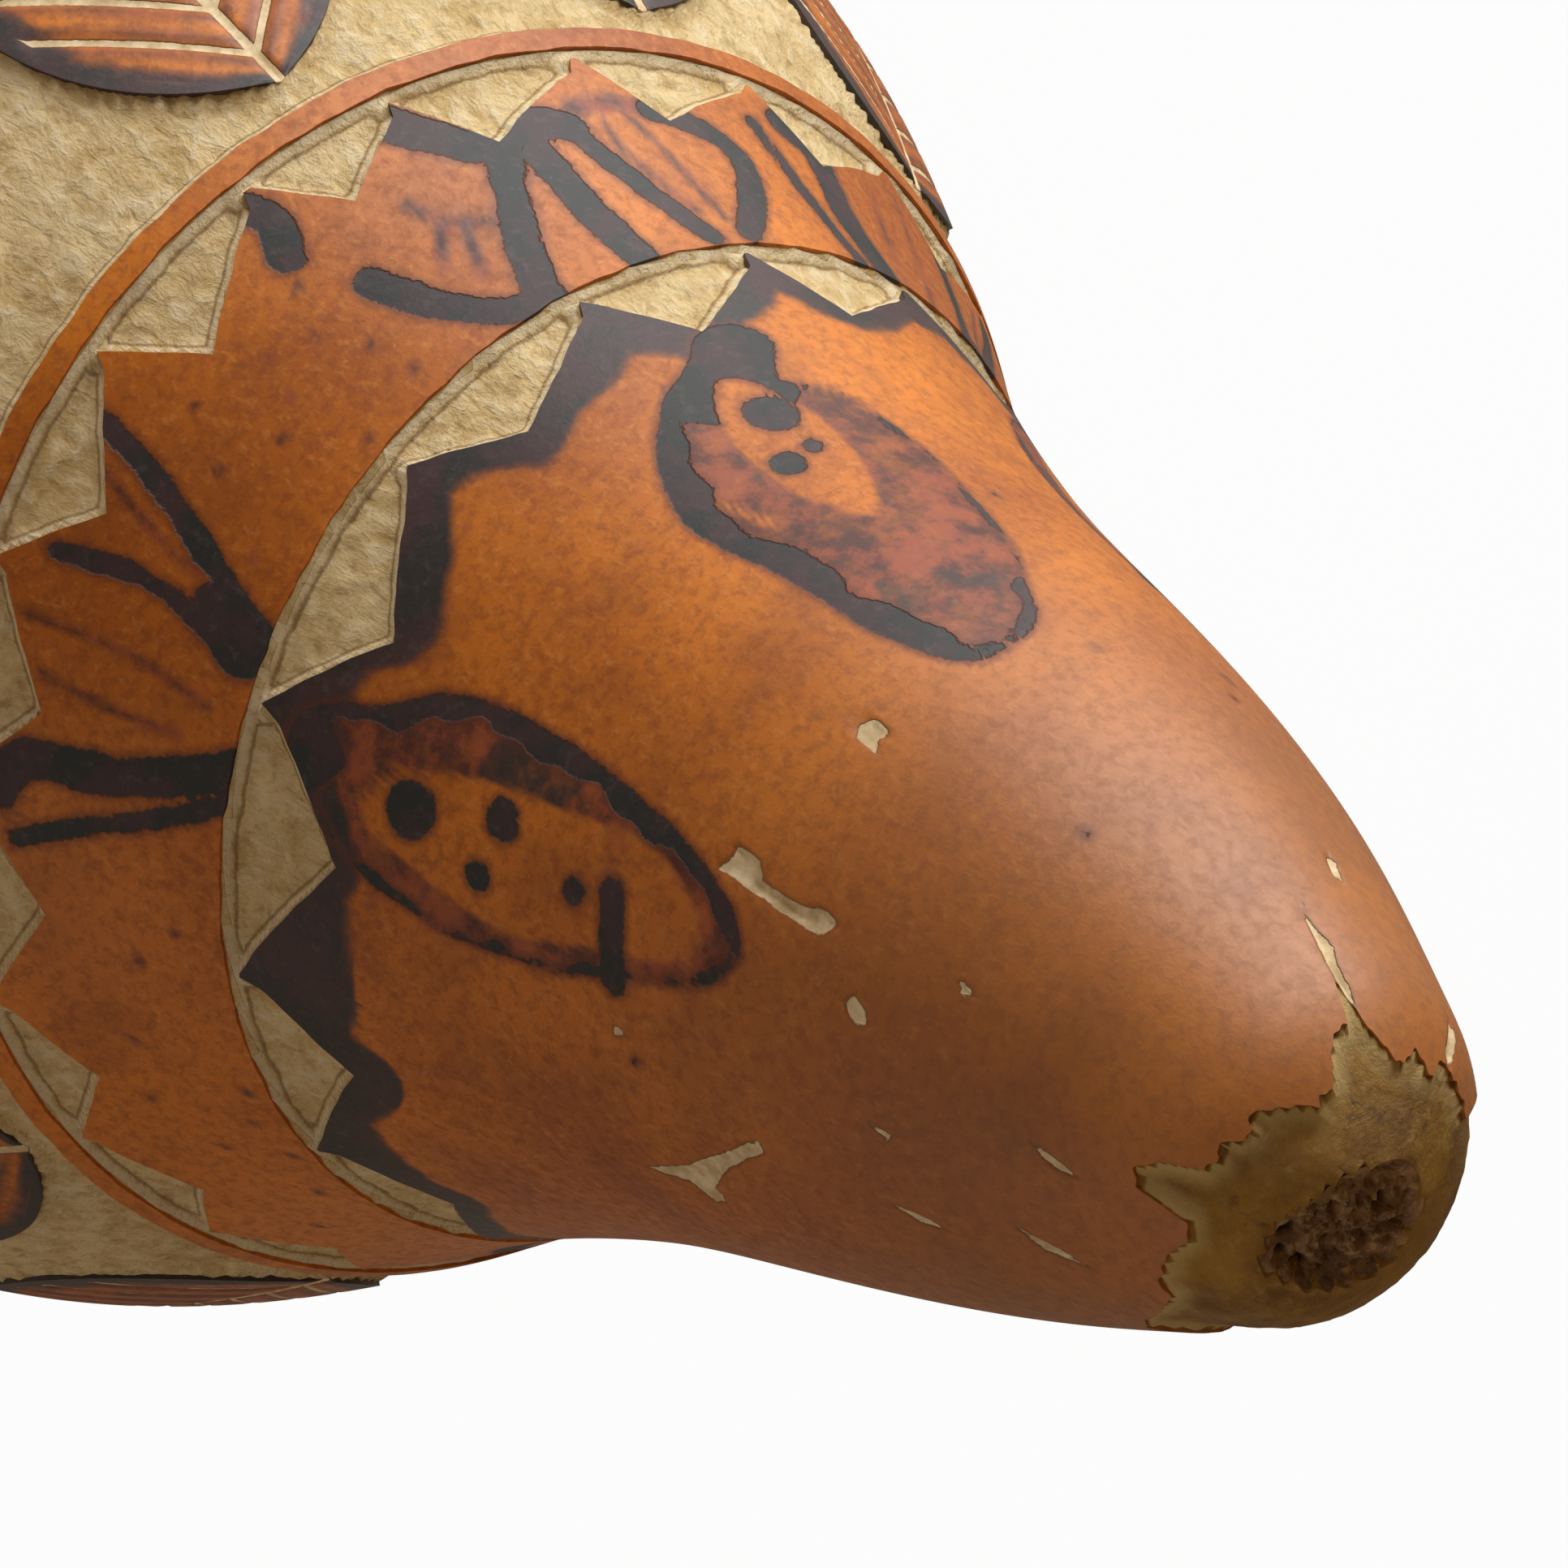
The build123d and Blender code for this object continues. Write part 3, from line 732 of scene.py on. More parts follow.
def dyed_skin_finish(name="dyed_skin", veined=False):
    """Orange-brown dyed skin, with what is burned, stained, scorched and chipped, or cut as the veins of a leaf."""
    f = Finish(name, 0.4)
    chipped_source, stained_source = f.field("chipped"), f.field("stained")
    if veined:
        turned = f.math("MODULO", f.field("vein_way"), vein_pitch)
        from_vein = f.math("ABSOLUTE", f.math("SUBTRACT", turned, vein_pitch / 2))
        vein = f.math("SUBTRACT", from_vein, vein_half)
        vein = f.math("MAXIMUM", vein, f.math("SUBTRACT", vein_margin, f.field("from_margin")))
        rib = f.math("SUBTRACT", f.field("from_rib"), rib_half)
        chipped_source = f.math("MINIMUM", vein, rib)
        from_shade = f.math("ABSOLUTE", f.math("SUBTRACT", from_vein, 1.2))
        stained_source = f.ranged(from_shade, 0.0, 1.2, 0.8, 0.0, smooth=False)
    tone = f.noise(22, 3, 0.6)
    color = f.mix(f.ranged(tone, 0.34, 0.66), (0.40, 0.098, 0.0035), (0.70, 0.205, 0.008))
    mottle = f.noise(900, 7, 0.70, distortion=0.3)
    color = f.over(color, mottle, 0.42, 0.66, 0.48, (0.19, 0.036, 0.005))
    fibre = f.noise(1300, 6, 0.66, stretch=(1, 1, 0.6), distortion=0.4)
    color = f.over(color, fibre, 0.50, 0.70, 0.36, (0.80, 0.31, 0.06))
    patch = f.noise(95, 4, 0.6)
    color = f.over(color, patch, 0.5, 0.68, 0.32, (0.22, 0.05, 0.008))
    # Towards the stem end the colour is mixed with a duller, darker pinkish brown: partly the skin's own duller tone
    # there, partly a painted sheen and painted shade on that end of the neck
    color = f.mix(f.ranged(f.height(), 0.155, 0.205, 0.0, 0.5), color, (0.33, 0.155, 0.065))
    ragged = f.around(f.noise(1700, 4, 0.7), 0.5, 0.8)
    wobble = f.around(f.noise(240, 3, 0.5), 0.5, 1.1)
    uneven = f.math("ADD", ragged, wobble)
    # Charcoal black, slate and purple where it is burned
    char = f.mix(f.ranged(f.noise(150, 4, 0.65), 0.42, 0.58), (0.020, 0.024, 0.024), (0.050, 0.026, 0.030))
    char = f.over(char, f.noise(900, 5, 0.7), 0.50, 0.74, 0.55, (0.105, 0.078, 0.066))
    brown = f.mix(f.ranged(f.noise(210, 5, 0.7), 0.40, 0.62), (0.075, 0.021, 0.016), (0.33, 0.074, 0.027))
    brown = f.over(brown, f.noise(110, 3, 0.6), 0.56, 0.64, 0.85, (0.030, 0.026, 0.026))
    stained = f.math("MULTIPLY", stained_source, f.ranged(f.noise(300, 4, 0.65), 0.30, 0.56, 0.62, 0.98))
    color = f.mix(stained, color, brown)
    scorched = f.math("ADD", f.field("scorched"), f.around(f.noise(130, 5, 0.6), 0.46, 1.5))
    scorched = f.math("MULTIPLY", scorched, f.ranged(f.field("scorched"), 0.0, 0.25))
    color = f.over(color, scorched, 0.0, 0.45, 0.6, (0.085, 0.028, 0.020))
    color = f.over(color, scorched, 0.22, 0.62, 0.97, char)
    burned = f.math("ADD", f.field("burned"), uneven)
    color = f.mix(f.ranged(burned, -0.1, 0.9, 0.7, 0.0), color, (0.12, 0.028, 0.010))
    burned_share = f.ranged(burned, -0.14, 0.12, 1.0, 0.0)
    color = f.mix(burned_share, color, char)
    chipped = f.math("ADD", chipped_source, f.math("MULTIPLY", uneven, 0.25 if veined else 0.45))
    chip_share = f.ranged(chipped, -0.06, 0.05, 1.0, 0.0)
    pale = f.mix(f.ranged(f.noise(500, 5, 0.6), 0.35, 0.65), (0.58, 0.42, 0.22), (0.86, 0.70, 0.44))
    color = f.mix(f.ranged(chipped, 0.02, 0.3, 0.45, 0.0), color, (0.20, 0.06, 0.015))
    color = f.mix(chip_share, color, pale)
    roughness = f.blend_value(burned_share, f.ranged(mottle, 0.3, 0.7, 0.42, 0.54), 0.55)
    roughness = f.blend_value(chip_share, roughness, 0.85)
    grain = f.math("ADD", f.math("MULTIPLY", mottle, 0.5), f.math("MULTIPLY", fibre, 0.35))
    normal = f.bump(grain, 0.07)
    sunk = f.math("ADD", f.math("MULTIPLY", burned_share, -1.0), f.math("MULTIPLY", chip_share, -1.8))
    normal = f.bump(sunk, 0.09, normal)
    f.shader.inputs["Specular IOR Level"].default_value = 0.45
    return f.done(color, normal, roughness)


def carved_wood_finish():
    """Pale fibrous wood in the carving, and the olive-brown rind where the skin has peeled off the stem end."""
    f = Finish("carved_wood", 0.85)
    coarse = f.noise(210, 8, 0.72, distortion=0.5)
    fine = f.noise(1100, 7, 0.75)
    color = f.mix(f.ranged(coarse, 0.36, 0.62), (0.68, 0.47, 0.19), (0.90, 0.70, 0.37))
    color = f.over(color, fine, 0.48, 0.72, 0.5, (0.93, 0.80, 0.54))
    color = f.over(color, f.noise(430, 7, 0.8), 0.55, 0.72, 0.55, (0.30, 0.15, 0.045))
    gouge = f.noise(760, 4, 0.6, stretch=(1, 1, 0.24), distortion=0.4)
    color = f.over(color, gouge, 0.52, 0.66, 0.55, (0.95, 0.82, 0.56))
    color = f.over(color, gouge, 0.44, 0.34, 0.45, (0.44, 0.26, 0.10))
    from_edge = f.math("ADD", f.field("from_edge"), f.around(fine, 0.5, 0.5))
    # Beside each edge of the skin the bank is paler: partly the cut's own pale fibres, partly a painted highlight on
    # the bevel
    color = f.mix(f.ranged(from_edge, 0.45, 0.75, 0.75, 0.0), color, (0.92, 0.78, 0.52))
    # Painted shade: a thin dark line in the crevice at the foot of the bank
    crevice_painted_shade = f.ranged(f.math("ABSOLUTE", f.math("SUBTRACT", from_edge, 0.92)), 0.03, 0.24, 0.6, 0.0)
    color = f.mix(crevice_painted_shade, color, (0.20, 0.09, 0.028))
    rind_share = f.ranged(f.height(), 0.190, 0.196)
    rind = f.mix(f.ranged(f.noise(95, 6, 0.65), 0.36, 0.62), (0.20, 0.085, 0.005), (0.46, 0.24, 0.022))
    rind = f.over(rind, f.noise(700, 6, 0.7), 0.50, 0.72, 0.5, (0.60, 0.38, 0.10))
    rind = f.over(rind, f.noise(330, 5, 0.7), 0.60, 0.70, 0.8, (0.09, 0.038, 0.012))
    rim = f.ranged(f.field("from_edge"), 0.1, 2.2, 0.85, 0.0)
    rind = f.mix(rim, rind, (0.76, 0.55, 0.21))
    color = f.mix(rind_share, color, rind)
    normal = f.bump(f.math("ADD", coarse, f.math("MULTIPLY", fine, 0.5)), 0.6)
    normal = f.bump(f.blend_value(rind_share, gouge, 0.5), 0.55, normal)
    return f.done(color, normal, f.blend_value(rind_share, 0.88, 0.55))


def cork_finish():
    """Dark pitted cork of the two scars, with painted shade in its deeper pits."""
    f = Finish("scar_cork", 0.75)
    grain = f.noise(520, 8, 0.72, distortion=0.8)
    color = f.mix(f.ranged(grain, 0.38, 0.66), (0.22, 0.11, 0.042), (0.58, 0.36, 0.17))
    color = f.over(color, f.noise(210, 4, 0.6), 0.52, 0.66, 0.7, (0.075, 0.034, 0.015))
    # Painted shade: the deeper the cork is sunk in its pits, the nearer to black it is painted
    color = f.over(color, f.field("sunk"), 1.45, 2.4, 0.95, (0.010, 0.005, 0.003))
    return f.done(color, f.bump(grain, 0.4))


def pith_finish():
    """Pale dry pith."""
    f = Finish("dry_pith", 0.95)
    grain = f.noise(500, 8, 0.8, stretch=(1, 1, 0.5))
    color = f.mix(f.ranged(grain, 0.35, 0.65), (0.60, 0.50, 0.32), (0.85, 0.78, 0.60))
    return f.done(color, f.bump(grain, 0.5))


def seed_finish():
    """Light brown seed coat."""
    f = Finish("seed_coat", 0.55)
    grain = f.noise(400, 6, 0.6, stretch=(1, 1, 0.6))
    color = f.mix(f.ranged(grain, 0.35, 0.65), (0.36, 0.23, 0.11), (0.62, 0.46, 0.27))
    return f.done(color, f.bump(f.noise(1500, 4, 0.6), 0.05))


dyed_skin = dyed_skin_finish()
leaf_skin = dyed_skin_finish("dyed_leaf_skin", veined=True)
carved_wood = carved_wood_finish()
scar_cork = cork_finish()
dry_pith = pith_finish()
seed_coat = seed_finish()

# ---------- edges of all the skins as points, for distances ----------

edge_spacing = 0.15
round_angles = np.arange(-180, 180, edge_spacing)


def edge_points(curve):
    return on_surface(round_angles, run_at(curve(round_angles)), 0 * round_angles)


def tree_of(points):
    tree = kdtree.KDTree(len(points))
    for index, point in enumerate(points):
        tree.insert(point, index)
    tree.balance()
    return tree


edge_tree_points = [edge_points(curve) for pair in skins.values() for curve in pair]
leaf_heights = np.linspace(-frieze_depth / 2 + leaf_gap, frieze_depth / 2 - leaf_gap, 160)
leaf_middle = frieze_foot + frieze_depth / 2
leaf_runs = run_at(leaf_middle + leaf_heights)
leaf_turns = np.degrees(np.arcsin(np.clip(leaf_half_width(leaf_heights) / radius_at(leaf_runs), 0, 1)))
for number in range(leaf_count):
    for side in (-1, 1):
        edge_tree_points.append(on_surface(leaf_pitch * number + side * leaf_turns, leaf_runs, 0 * leaf_runs))
edge_tree = tree_of(np.concatenate(edge_tree_points))
tooth_tree = tree_of(edge_points(neck_low))


def distances(tree, places):
    return np.array([tree.find(place)[2] for place in places])


def under_skin(angle, height):
    """True where a dyed skin covers the wall."""
    covered = np.zeros(angle.shape, bool)
    for low, high in skins.values():
        covered |= (height >= low(angle)) & (height <= high(angle))
    turned = (angle + leaf_pitch / 2) % leaf_pitch - leaf_pitch / 2
    across = np.abs(np.sin(np.radians(turned))) * radius_at(run_at(height))
    inside_band = np.abs(height - leaf_middle) < frieze_depth / 2 - leaf_gap
    covered |= inside_band & (across < leaf_half_width(height - leaf_middle))
    return covered


# ---------- stem scar: an oval of cork, sunk in the rind ----------

dome_centre = np.array([0.0, 0.0, gourd_height - stem_dome_radius])
scar_turn = math.radians(scar_side_angle)
scar_tilt = math.asin(scar_offset / stem_dome_radius)
scar_normal = np.array(
    [math.sin(scar_tilt) * math.sin(scar_turn), -math.sin(scar_tilt) * math.cos(scar_turn), math.cos(scar_tilt)]
)
scar_long = np.array([math.sin(math.radians(scar_long_angle)), -math.cos(math.radians(scar_long_angle)), 0.0])
scar_long -= scar_normal * (scar_long @ scar_normal)
scar_long /= np.linalg.norm(scar_long)
scar_across = np.cross(scar_normal, scar_long)


def scar_oval(turn):
    """How far the scar's edge lies out, as a share of a true oval; it wanders a little."""
    return 1 + 0.05 * np.sin(2 * turn + 0.6) + 0.05 * np.sin(3 * turn + 2.0) + 0.025 * np.sin(7 * turn)


def scar_reach(places):
    """Distance from the scar's middle, as a share of its own radius there."""
    along = (places - dome_centre) @ scar_long / (scar_length / 2)
    across = (places - dome_centre) @ scar_across / (scar_width / 2)
    return np.hypot(along, across) / scar_oval(np.arctan2(across, along))


# Pits in the cork: share of half the length, share of half the width, radius and depth
scar_pits = (
    (0.62, 0.40, 0.85, 1.5), (0.34, 0.62, 0.75, 1.4), (-0.42, -0.18, 0.9, 1.3), (0.70, -0.25, 1.1, 1.3),
    (0.80, 0.12, 0.8, 1.0), (-0.15, 0.30, 0.7, 0.9), (0.12, -0.35, 0.7, 0.8), (-0.60, 0.35, 0.8, 0.9),
    (0.30, 0.08, 0.55, 0.7),
)
scar_top_share = 0.75
scar_margin = 0.22
scar_least_depth = 0.1
scar_plug_depth = 3.2


def scar_place(column, row):
    """The cork plug: its pitted top from the middle to the edge, then its plain underside."""
    turn = 2 * math.pi * column
    top = row <= scar_top_share
    reach = np.where(top, row / scar_top_share, (1 - row) / (1 - scar_top_share))
    along = reach * scar_oval(turn) * np.cos(turn) * scar_length / 2
    across = reach * scar_oval(turn) * np.sin(turn) * scar_width / 2
    flat = np.hypot(along, across)
    rise = np.sqrt(np.maximum((stem_dome_radius - skin_thickness) ** 2 - flat**2, 0))
    base = dome_centre + along[:, None] * scar_long + across[:, None] * scar_across + rise[:, None] * scar_normal
    rough = np.array([noise.fractal(Vector(place) * 0.9, 0.6, 2.1, 5) for place in base])
    folds = 0.22 * np.sin(5.0 * across + 1.4 * along + 3 * rough)
    bowl = np.clip((1 - reach) / scar_margin, 0, 1)
    depth = 0.12 + bowl * (0.85 - 0.65 * rough + folds * np.clip(1 - along / 4, 0, 1) * 0.5)
    for long_share, wide_share, radius, deep in scar_pits:
        away = np.hypot(along - long_share * scar_length / 2, across - wide_share * scar_width / 2)
        depth += deep * np.clip(1 - (away / radius) ** 2, 0, 1) * bowl
    plug = scar_plug_depth * np.clip(0.2 + (1 - reach) * 4, 0.2, 1)
    depth = np.where(top, np.maximum(depth, scar_least_depth), plug)
    return lean(base - depth[:, None] * scar_normal), {"sunk": np.where(top, depth, 3.0)}


# ---------- woody wall, with its carved floor ----------

wall_columns = 480
dimple_rows = 8
dimple_row_share = 0.75
# Rows of the wall, close where something is carved: height at which a band of rows ends, and its rows
wall_bands = ((20, 7), (29, 12), (58, 7), (101, 38), (116, 30), (121, 3), (141, 40), (200, 10))
tip_rows = 40
wall_rows = []
band_foot = 0
for band_top, band_rows in wall_bands:
    wall_rows.append(np.linspace(band_foot, run_at(band_top), band_rows, endpoint=False))
    band_foot = run_at(band_top)
wall_rows = np.concatenate(wall_rows + [np.linspace(band_foot, outline_run[-1], tip_rows)])

# The carved floor: how it falls away from an edge of the skin, and the gouge strokes in it
no_edge = 5.0
bank_depth = 0.85
bank_width = 0.95
stroke_wide = 1.9
stroke_long = 1.15
stroke_depth = 0.42
scoop_depth = 0.55
hidden_floor = 0.12
# The bare rind at the stem end, and the pocket that the scar sits in
rind_from = 200
scar_from = 205
# The pocket and the lip round it lie at these shares of the scar's own radius
pocket_depth = 2.6
pocket_share = 0.98
pocket_bank = 0.06
lip_height = 0.16
lip_share = 1.08
lip_width = 0.12


def wall_place(column, row):
    """The outside of the woody wall, from the middle of the dimple to the tip."""
    angle = -180 + 360 * column
    rows = dimple_rows + len(wall_rows) - 1
    number = np.round(row * rows).astype(int)
    places = np.zeros((len(angle), 3))
    edge = np.full(len(angle), no_edge)
    in_dimple = number < dimple_rows
    share = number[in_dimple] / dimple_rows
    on_foot = (share - dimple_row_share) / (1 - dimple_row_share) * (foot_radius - dimple_radius) * 0.8
    reach = np.where(share < dimple_row_share, share / dimple_row_share * dimple_radius, dimple_radius + on_foot)
    curve = (dimple_radius**2 + dimple_depth**2) / (2 * dimple_depth)
    rise = np.where(reach < dimple_radius, dimple_depth - curve + np.sqrt(np.maximum(curve**2 - reach**2, 0)), 0)
    turn = np.radians(angle[in_dimple])
    places[in_dimple] = np.stack([reach * np.sin(turn), -reach * np.cos(turn), rise], axis=-1)
    on_side = ~in_dimple
    run = wall_rows[np.clip(number[on_side] - dimple_rows, 0, len(wall_rows) - 1)]
    height = np.interp(run, outline_run, outline[:, 1])
    side_angle = angle[on_side]
    top = on_surface(side_angle, run, 0 * run)
    distance = distances(edge_tree, top)
    covered = under_skin(side_angle, height)
    turned = np.radians(side_angle)
    # Each gouge stroke is a short, shallow scoop
    strokes = np.stack([turned * radius_at(run) / stroke_wide, run / stroke_long, 0 * run], axis=-1)
    scoop = np.array([noise.voronoi(Vector(place))[0][0] for place in strokes])
    bank = 0.10 + bank_depth * np.clip(distance / bank_width, 0, 1) ** 0.8
    carved = bank + (stroke_depth - scoop_depth * scoop) * np.clip((distance - 0.3) / 0.8, 0, 1)
    lumps = np.array([noise.fractal(Vector(place) * 0.35, 0.7, 2.0, 4) for place in top])
    peeled = skin_thickness * np.clip(distance, 0.2, 1) + 0.10 * (1 - lumps)
    hidden = hidden_floor + (skin_thickness - 0.06) * np.clip(distance / 0.9, 0, 1)
    depth = np.where(covered, hidden, np.where(height > rind_from, peeled, carved))
    depth = np.where(~covered & (height < base_skin_height + 0.5), skin_thickness, depth)
    pocket = pocket_depth * np.clip((pocket_share - scar_reach(top)) / pocket_bank, 0, 1)
    lip = lip_height * np.clip(1 - np.abs(scar_reach(top) - lip_share) / lip_width, 0, 1)
    depth = depth + np.where(height > scar_from, pocket - lip, 0)
    places[on_side] = lean(on_surface(side_angle, run, depth))
    places[on_side, 2] = np.maximum(places[on_side, 2], 0)
    on_frieze = (height < frieze_top - 0.6) & (height > frieze_foot)
    edge[on_side] = np.where(covered | on_frieze, no_edge, distance)
    return places, {"from_edge": edge}


wall = grid_piece("hard_shell_carved", wall_columns, dimple_rows + len(wall_rows) - 1, wall_place)


def cavity_place(column, row):
    """The hollow in the wall: a bowl for its floor, then a wall of even thickness. It doesn't lean."""
    angle = 180 - 360 * column
    inset = skin_thickness + shell_wall
    bowl_run = outline_run[-1] * cavity_bowl_share
    start = on_surface(np.zeros(1), np.full(1, bowl_run), np.full(1, inset))[0]
    bowl_reach, bowl_height = -start[1], start[2]
    rise = bowl_height - cavity_floor
    curve = (bowl_reach**2 + rise**2) / (2 * rise)
    in_bowl = row < bowl_row_share
    reach = bowl_reach * np.clip(row / bowl_row_share, 0, 1)
    turn = np.radians(angle)
    bowl_rise = cavity_floor + curve - np.sqrt(curve**2 - reach**2)
    bowl = np.stack([reach * np.sin(turn), -reach * np.cos(turn), bowl_rise], axis=-1)
    run = bowl_run + (outline_run[-1] - bowl_run) * np.clip((row - bowl_row_share) / (1 - bowl_row_share), 0, 1)
    side = on_surface(angle, run, np.full(len(angle), inset))
    return np.where(in_bowl[:, None], bowl, side), {"from_edge": np.full(len(angle), no_edge)}


cavity_columns, cavity_rows = 64, 40
cavity = grid_piece("hollow", cavity_columns, cavity_rows, cavity_place)
bpy.ops.object.mode_set(mode="EDIT")
bpy.ops.mesh.select_all(action="SELECT")
bpy.ops.mesh.normals_make_consistent(inside=True)
bpy.ops.object.mode_set(mode="OBJECT")
join_onto(wall, [cavity])
finish(wall, "hard_shell", carved_wood, rough_angle)

# ---------- dyed skins ----------

# Columns and rows of each skin
skin_sizes = {
    "neck_skin": (480, 84),
    "shoulder_skin": (480, 34),
    "shoulder_strip": (360, 4),
    "belly_skin": (300, 36),
    "base_skin": (336, 24),
}
teeth_of = {"neck_skin": ring_teeth, "shoulder_skin": band_teeth, "base_skin": hem_teeth}
chip_depth = 0.3
chip_bank = 0.4
soot_rise_blur = 3.2
soot_width_blur = 2.8
# The smoke round the ring: angle, how far it reaches up from the ring, and how far out from the teeth
soot_reach = (
    (-180, 6.0, 2.6), (-112, 5.0, 2.6), (-84, 7.0, 3.2), (-66, 6.0, 3.6), (-54, 8.0, 4.6), (-42, 5.5, 4.8),
    (-30, 5.5, 4.6), (-19, 6.0, 4.2), (-9, 8.0, 5.2), (0, 10.0, 4.4), (14, 9.5, 3.4), (28, 10.5, 3.2),
    (40, 13.0, 3.6), (54, 12.0, 4.6), (75, 10.0, 4.6), (95, 9.0, 3.6), (120, 6.5, 2.6), (180, 6.0, 2.6),
)


def scorched_field(name, angle, run, places):
    """How dark the smoke of the burning has left the skin, from 0 to 1: it fills the notches between the teeth."""
    if name != "neck_skin":
        return np.zeros(angle.shape)
    distance = distances(tooth_tree, places)
    above = run - run_at(ring_line(angle))
    steps = np.array(soot_reach)
    reach = np.interp(angle, steps[:, 0], steps[:, 1]) + wander(angle, 8, 0.5, (9, 14, 23))
    wide = np.interp(angle, steps[:, 0], steps[:, 2]) + wander(angle, 9, 0.35, (11, 17, 26))
    notch = np.clip((reach - above) / soot_rise_blur, 0, 1)
    margin = np.clip((wide - distance) / soot_width_blur, 0, 1)
    return np.maximum(notch, margin)


for name, (low, high) in skins.items():
    columns, rows = skin_sizes[name]
    angles = edge_angles(columns, [corner for tooth in teeth_of.get(name, ()) for corner in tooth[:3]])

    def skin_place(column, row, low=low, high=high, angles=angles, name=name):
        angle = angles[np.round(column * (len(angles) - 1)).astype(int)]
        low_run, high_run = run_at(low(angle)), run_at(high(angle))
        run = low_run + (high_run - low_run) * row
        places = on_surface(angle, run, 0 * run)
        chipped = chipped_field(name, angle, run)
        depth = chip_depth * np.clip(-chipped / chip_bank, 0, 1)
        burned, stained = drawn_fields(name, angle, run)
        fields = {
            "burned": burned,
            "stained": stained,
            "chipped": chipped,
            "scorched": scorched_field(name, angle, run, places),
        }
        return lean(on_surface(angle, run, depth)), fields

    skin = grid_piece(name + "_burned", columns, rows, skin_place)
    thicken(skin, dyed_depth)
    finish(skin, name, dyed_skin)


leaf_columns, leaf_rows = 48, 92
# The way along the veins starts some pitches up, so that it stays above zero in the material
vein_way_start = 8 * vein_pitch
vein_groove_margin = 1.4
vein_groove_bank = 0.4
leaf_char_share = 0.95


def leaf_sheet(number):
    """One leaf of skin left standing on the carved belly, with its cut veins."""

    def leaf_place(column, row):
        offset = (row - 0.5) * (frieze_depth - 2 * leaf_gap)
        height = leaf_middle + offset
        run = run_at(height)
        turn = np.degrees(np.arcsin(np.clip(leaf_half_width(offset) / radius_at(run), 0, 1)))
        across = 2 * column - 1
        angle = leaf_pitch * number + across * turn
        width = np.abs(across) * leaf_half_width(offset)
        margin = leaf_half_width(offset) - width
        vein_way = offset + width * vein_slant + vein_way_start
        vein = np.abs(vein_way % vein_pitch - vein_pitch / 2)
        rib_groove = np.clip(1 - width / rib_groove_half, 0, 1)
        vein_groove = np.clip(1 - vein / vein_groove_half, 0, 1)
        vein_groove = vein_groove * np.clip((margin - vein_groove_margin) / vein_groove_bank, 0, 1)
        fields = {
            "burned": np.full(len(angle), unmarked),
            "vein_way": vein_way,
            "from_rib": width,
            "from_margin": margin,
            "scorched": leaf_char_share * np.clip(1 - margin / leaf_char_width, 0, 1),
        }
        return on_surface(angle, run, groove_depth * np.maximum(rib_groove, vein_groove)), fields

    return grid_piece(f"leaf_{number}", leaf_columns, leaf_rows, leaf_place)


leaves = [leaf_sheet(number) for number in range(leaf_count)]
join_onto(leaves[0], leaves[1:])
leaves[0].name = "belly_leaves_burned"
thicken(leaves[0], dyed_depth)
finish(leaves[0], "belly_leaves", leaf_skin)

# ---------- stem scar ----------

scar_columns, scar_rows = 120, 44
scar = grid_piece("stem_scar_cork", scar_columns, scar_rows, scar_place)
finish(scar, "stem_scar", scar_cork, rough_angle)

# ---------- nodes that keep their solid's shape ----------

paint(nodes["blossom_scar"], scar_cork)
paint(nodes["pith_lining"], dry_pith)
paint(nodes["pith_core"], dry_pith)
for name, node in nodes.items():
    if name.startswith("seed_"):
        paint(node, seed_coat)

# ---------- floor, light and camera ----------

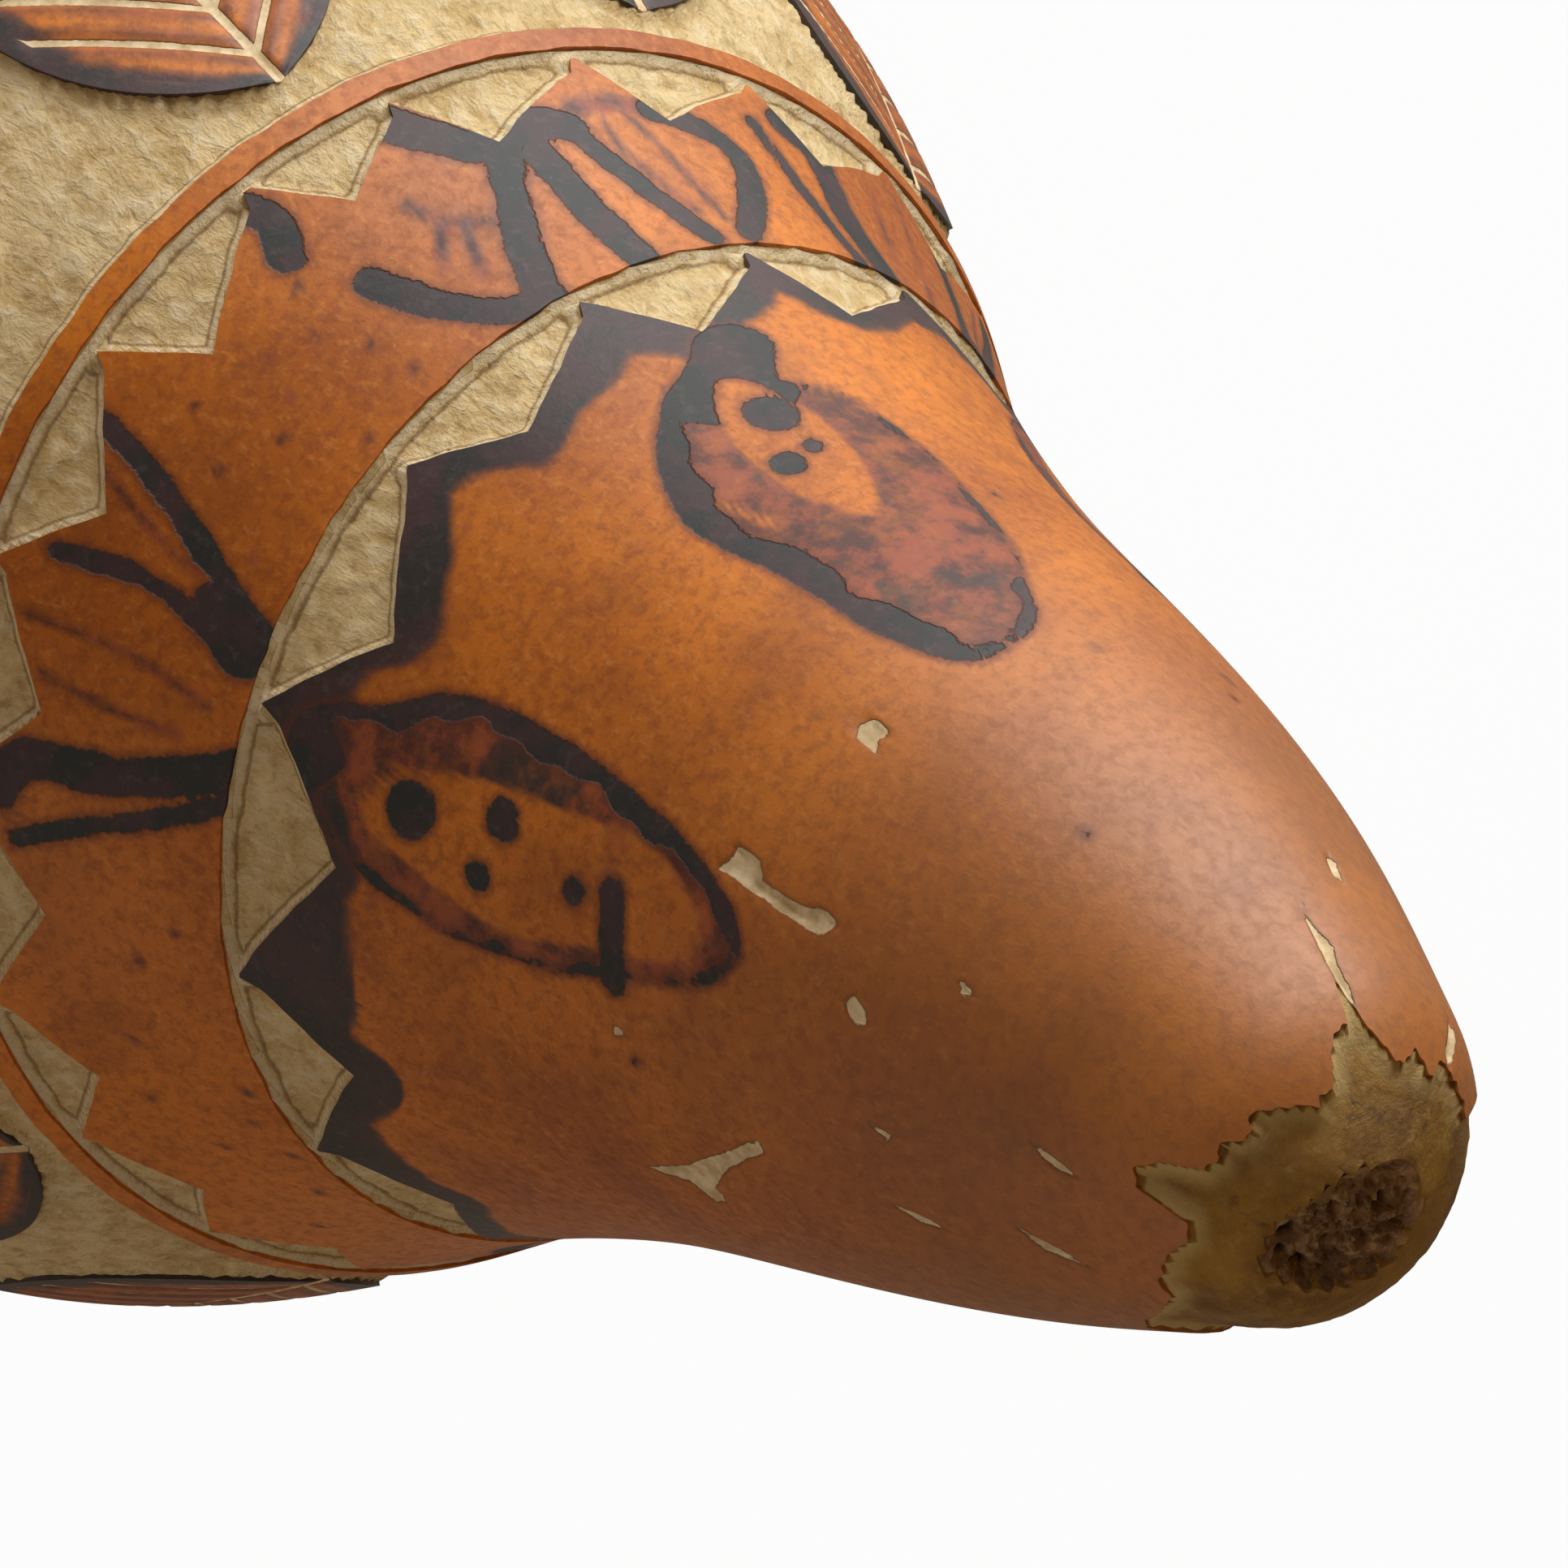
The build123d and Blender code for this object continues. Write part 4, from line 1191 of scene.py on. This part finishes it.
# The camera sees the floor as white paper; light that meets it still sees a pale matt floor
floor_size = 6
floor_white_share = 0.97
start_clean()
bpy.ops.mesh.primitive_plane_add(size=floor_size, location=(0, 0, 0))
floor = bpy.context.object
floor.name = "floor"
floor_paint = Finish("floor_paper", 0.9)
floor_paint.done((0.86, 0.86, 0.86))
light_path = floor_paint.node("ShaderNodeLightPath")
white = floor_paint.node("ShaderNodeEmission")
white.inputs["Strength"].default_value = 1.0
blend = floor_paint.node("ShaderNodeMixShader")
white_share = floor_paint.math("MULTIPLY", light_path.outputs["Is Camera Ray"], floor_white_share)
floor_paint.feed(blend.inputs[0], white_share)
floor_paint.feed(blend.inputs[1], floor_paint.shader.outputs[0])
floor_paint.feed(blend.inputs[2], white.outputs[0])
floor_paint.feed(floor_paint.tree.nodes["Material Output"].inputs["Surface"], blend.outputs[0])
paint(floor, floor_paint.material)

world = bpy.data.worlds.new("plain_room")
bpy.context.scene.world = world
world.use_nodes = True
background = world.node_tree.nodes["Background"]
background.inputs["Color"].default_value = (1.0, 0.67, 0.38, 1.0)  # warm
background.inputs["Strength"].default_value = 0.168


def soft_light(name, place, power, size, aim=(0, 0, 0.14), tall=None):
    """A soft rectangle of light, placed in metres, that faces its aim."""
    data = bpy.data.lights.new(name, "AREA")
    data.shape = "RECTANGLE"
    data.energy = power
    data.size = size
    data.size_y = tall or size
    lamp = bpy.data.objects.new(name, data)
    bpy.context.scene.collection.objects.link(lamp)
    lamp.location = place
    lamp.rotation_euler = (Vector(aim) - Vector(place)).to_track_quat("-Z", "Y").to_euler()


soft_light("window", (-0.62, -0.14, 0.145), 4.85, 0.66, (0, 0, 0.15), 0.27)
soft_light("room", (0.75, -0.35, 0.45), 0.9, 0.6)

# The camera stands where the outlines in the photograph put it, in millimetres, with these directions
camera_place = (-2.1, -326.0, 523.8)
camera_right = (-0.4764, 0.6672, 0.5726)
camera_down = (0.8792, 0.3624, 0.3092)
camera_focal_pixels = 7952.0
photo_width = 1932.0
right = Vector(camera_right).normalized()
down = Vector(camera_down).normalized()
camera_data = bpy.data.cameras.new("camera")
camera_data.sensor_width = 36.0
camera_data.lens = camera_data.sensor_width * camera_focal_pixels / photo_width
camera_data.clip_start = 0.01
camera = bpy.data.objects.new("camera", camera_data)
bpy.context.scene.collection.objects.link(camera)
axes = Matrix((right, -down, right.cross(-down))).transposed()
camera.matrix_world = Matrix.Translation(Vector(camera_place) * MM) @ axes.to_4x4()
bpy.context.scene.camera = camera
bpy.context.scene.view_settings.view_transform = "Standard"
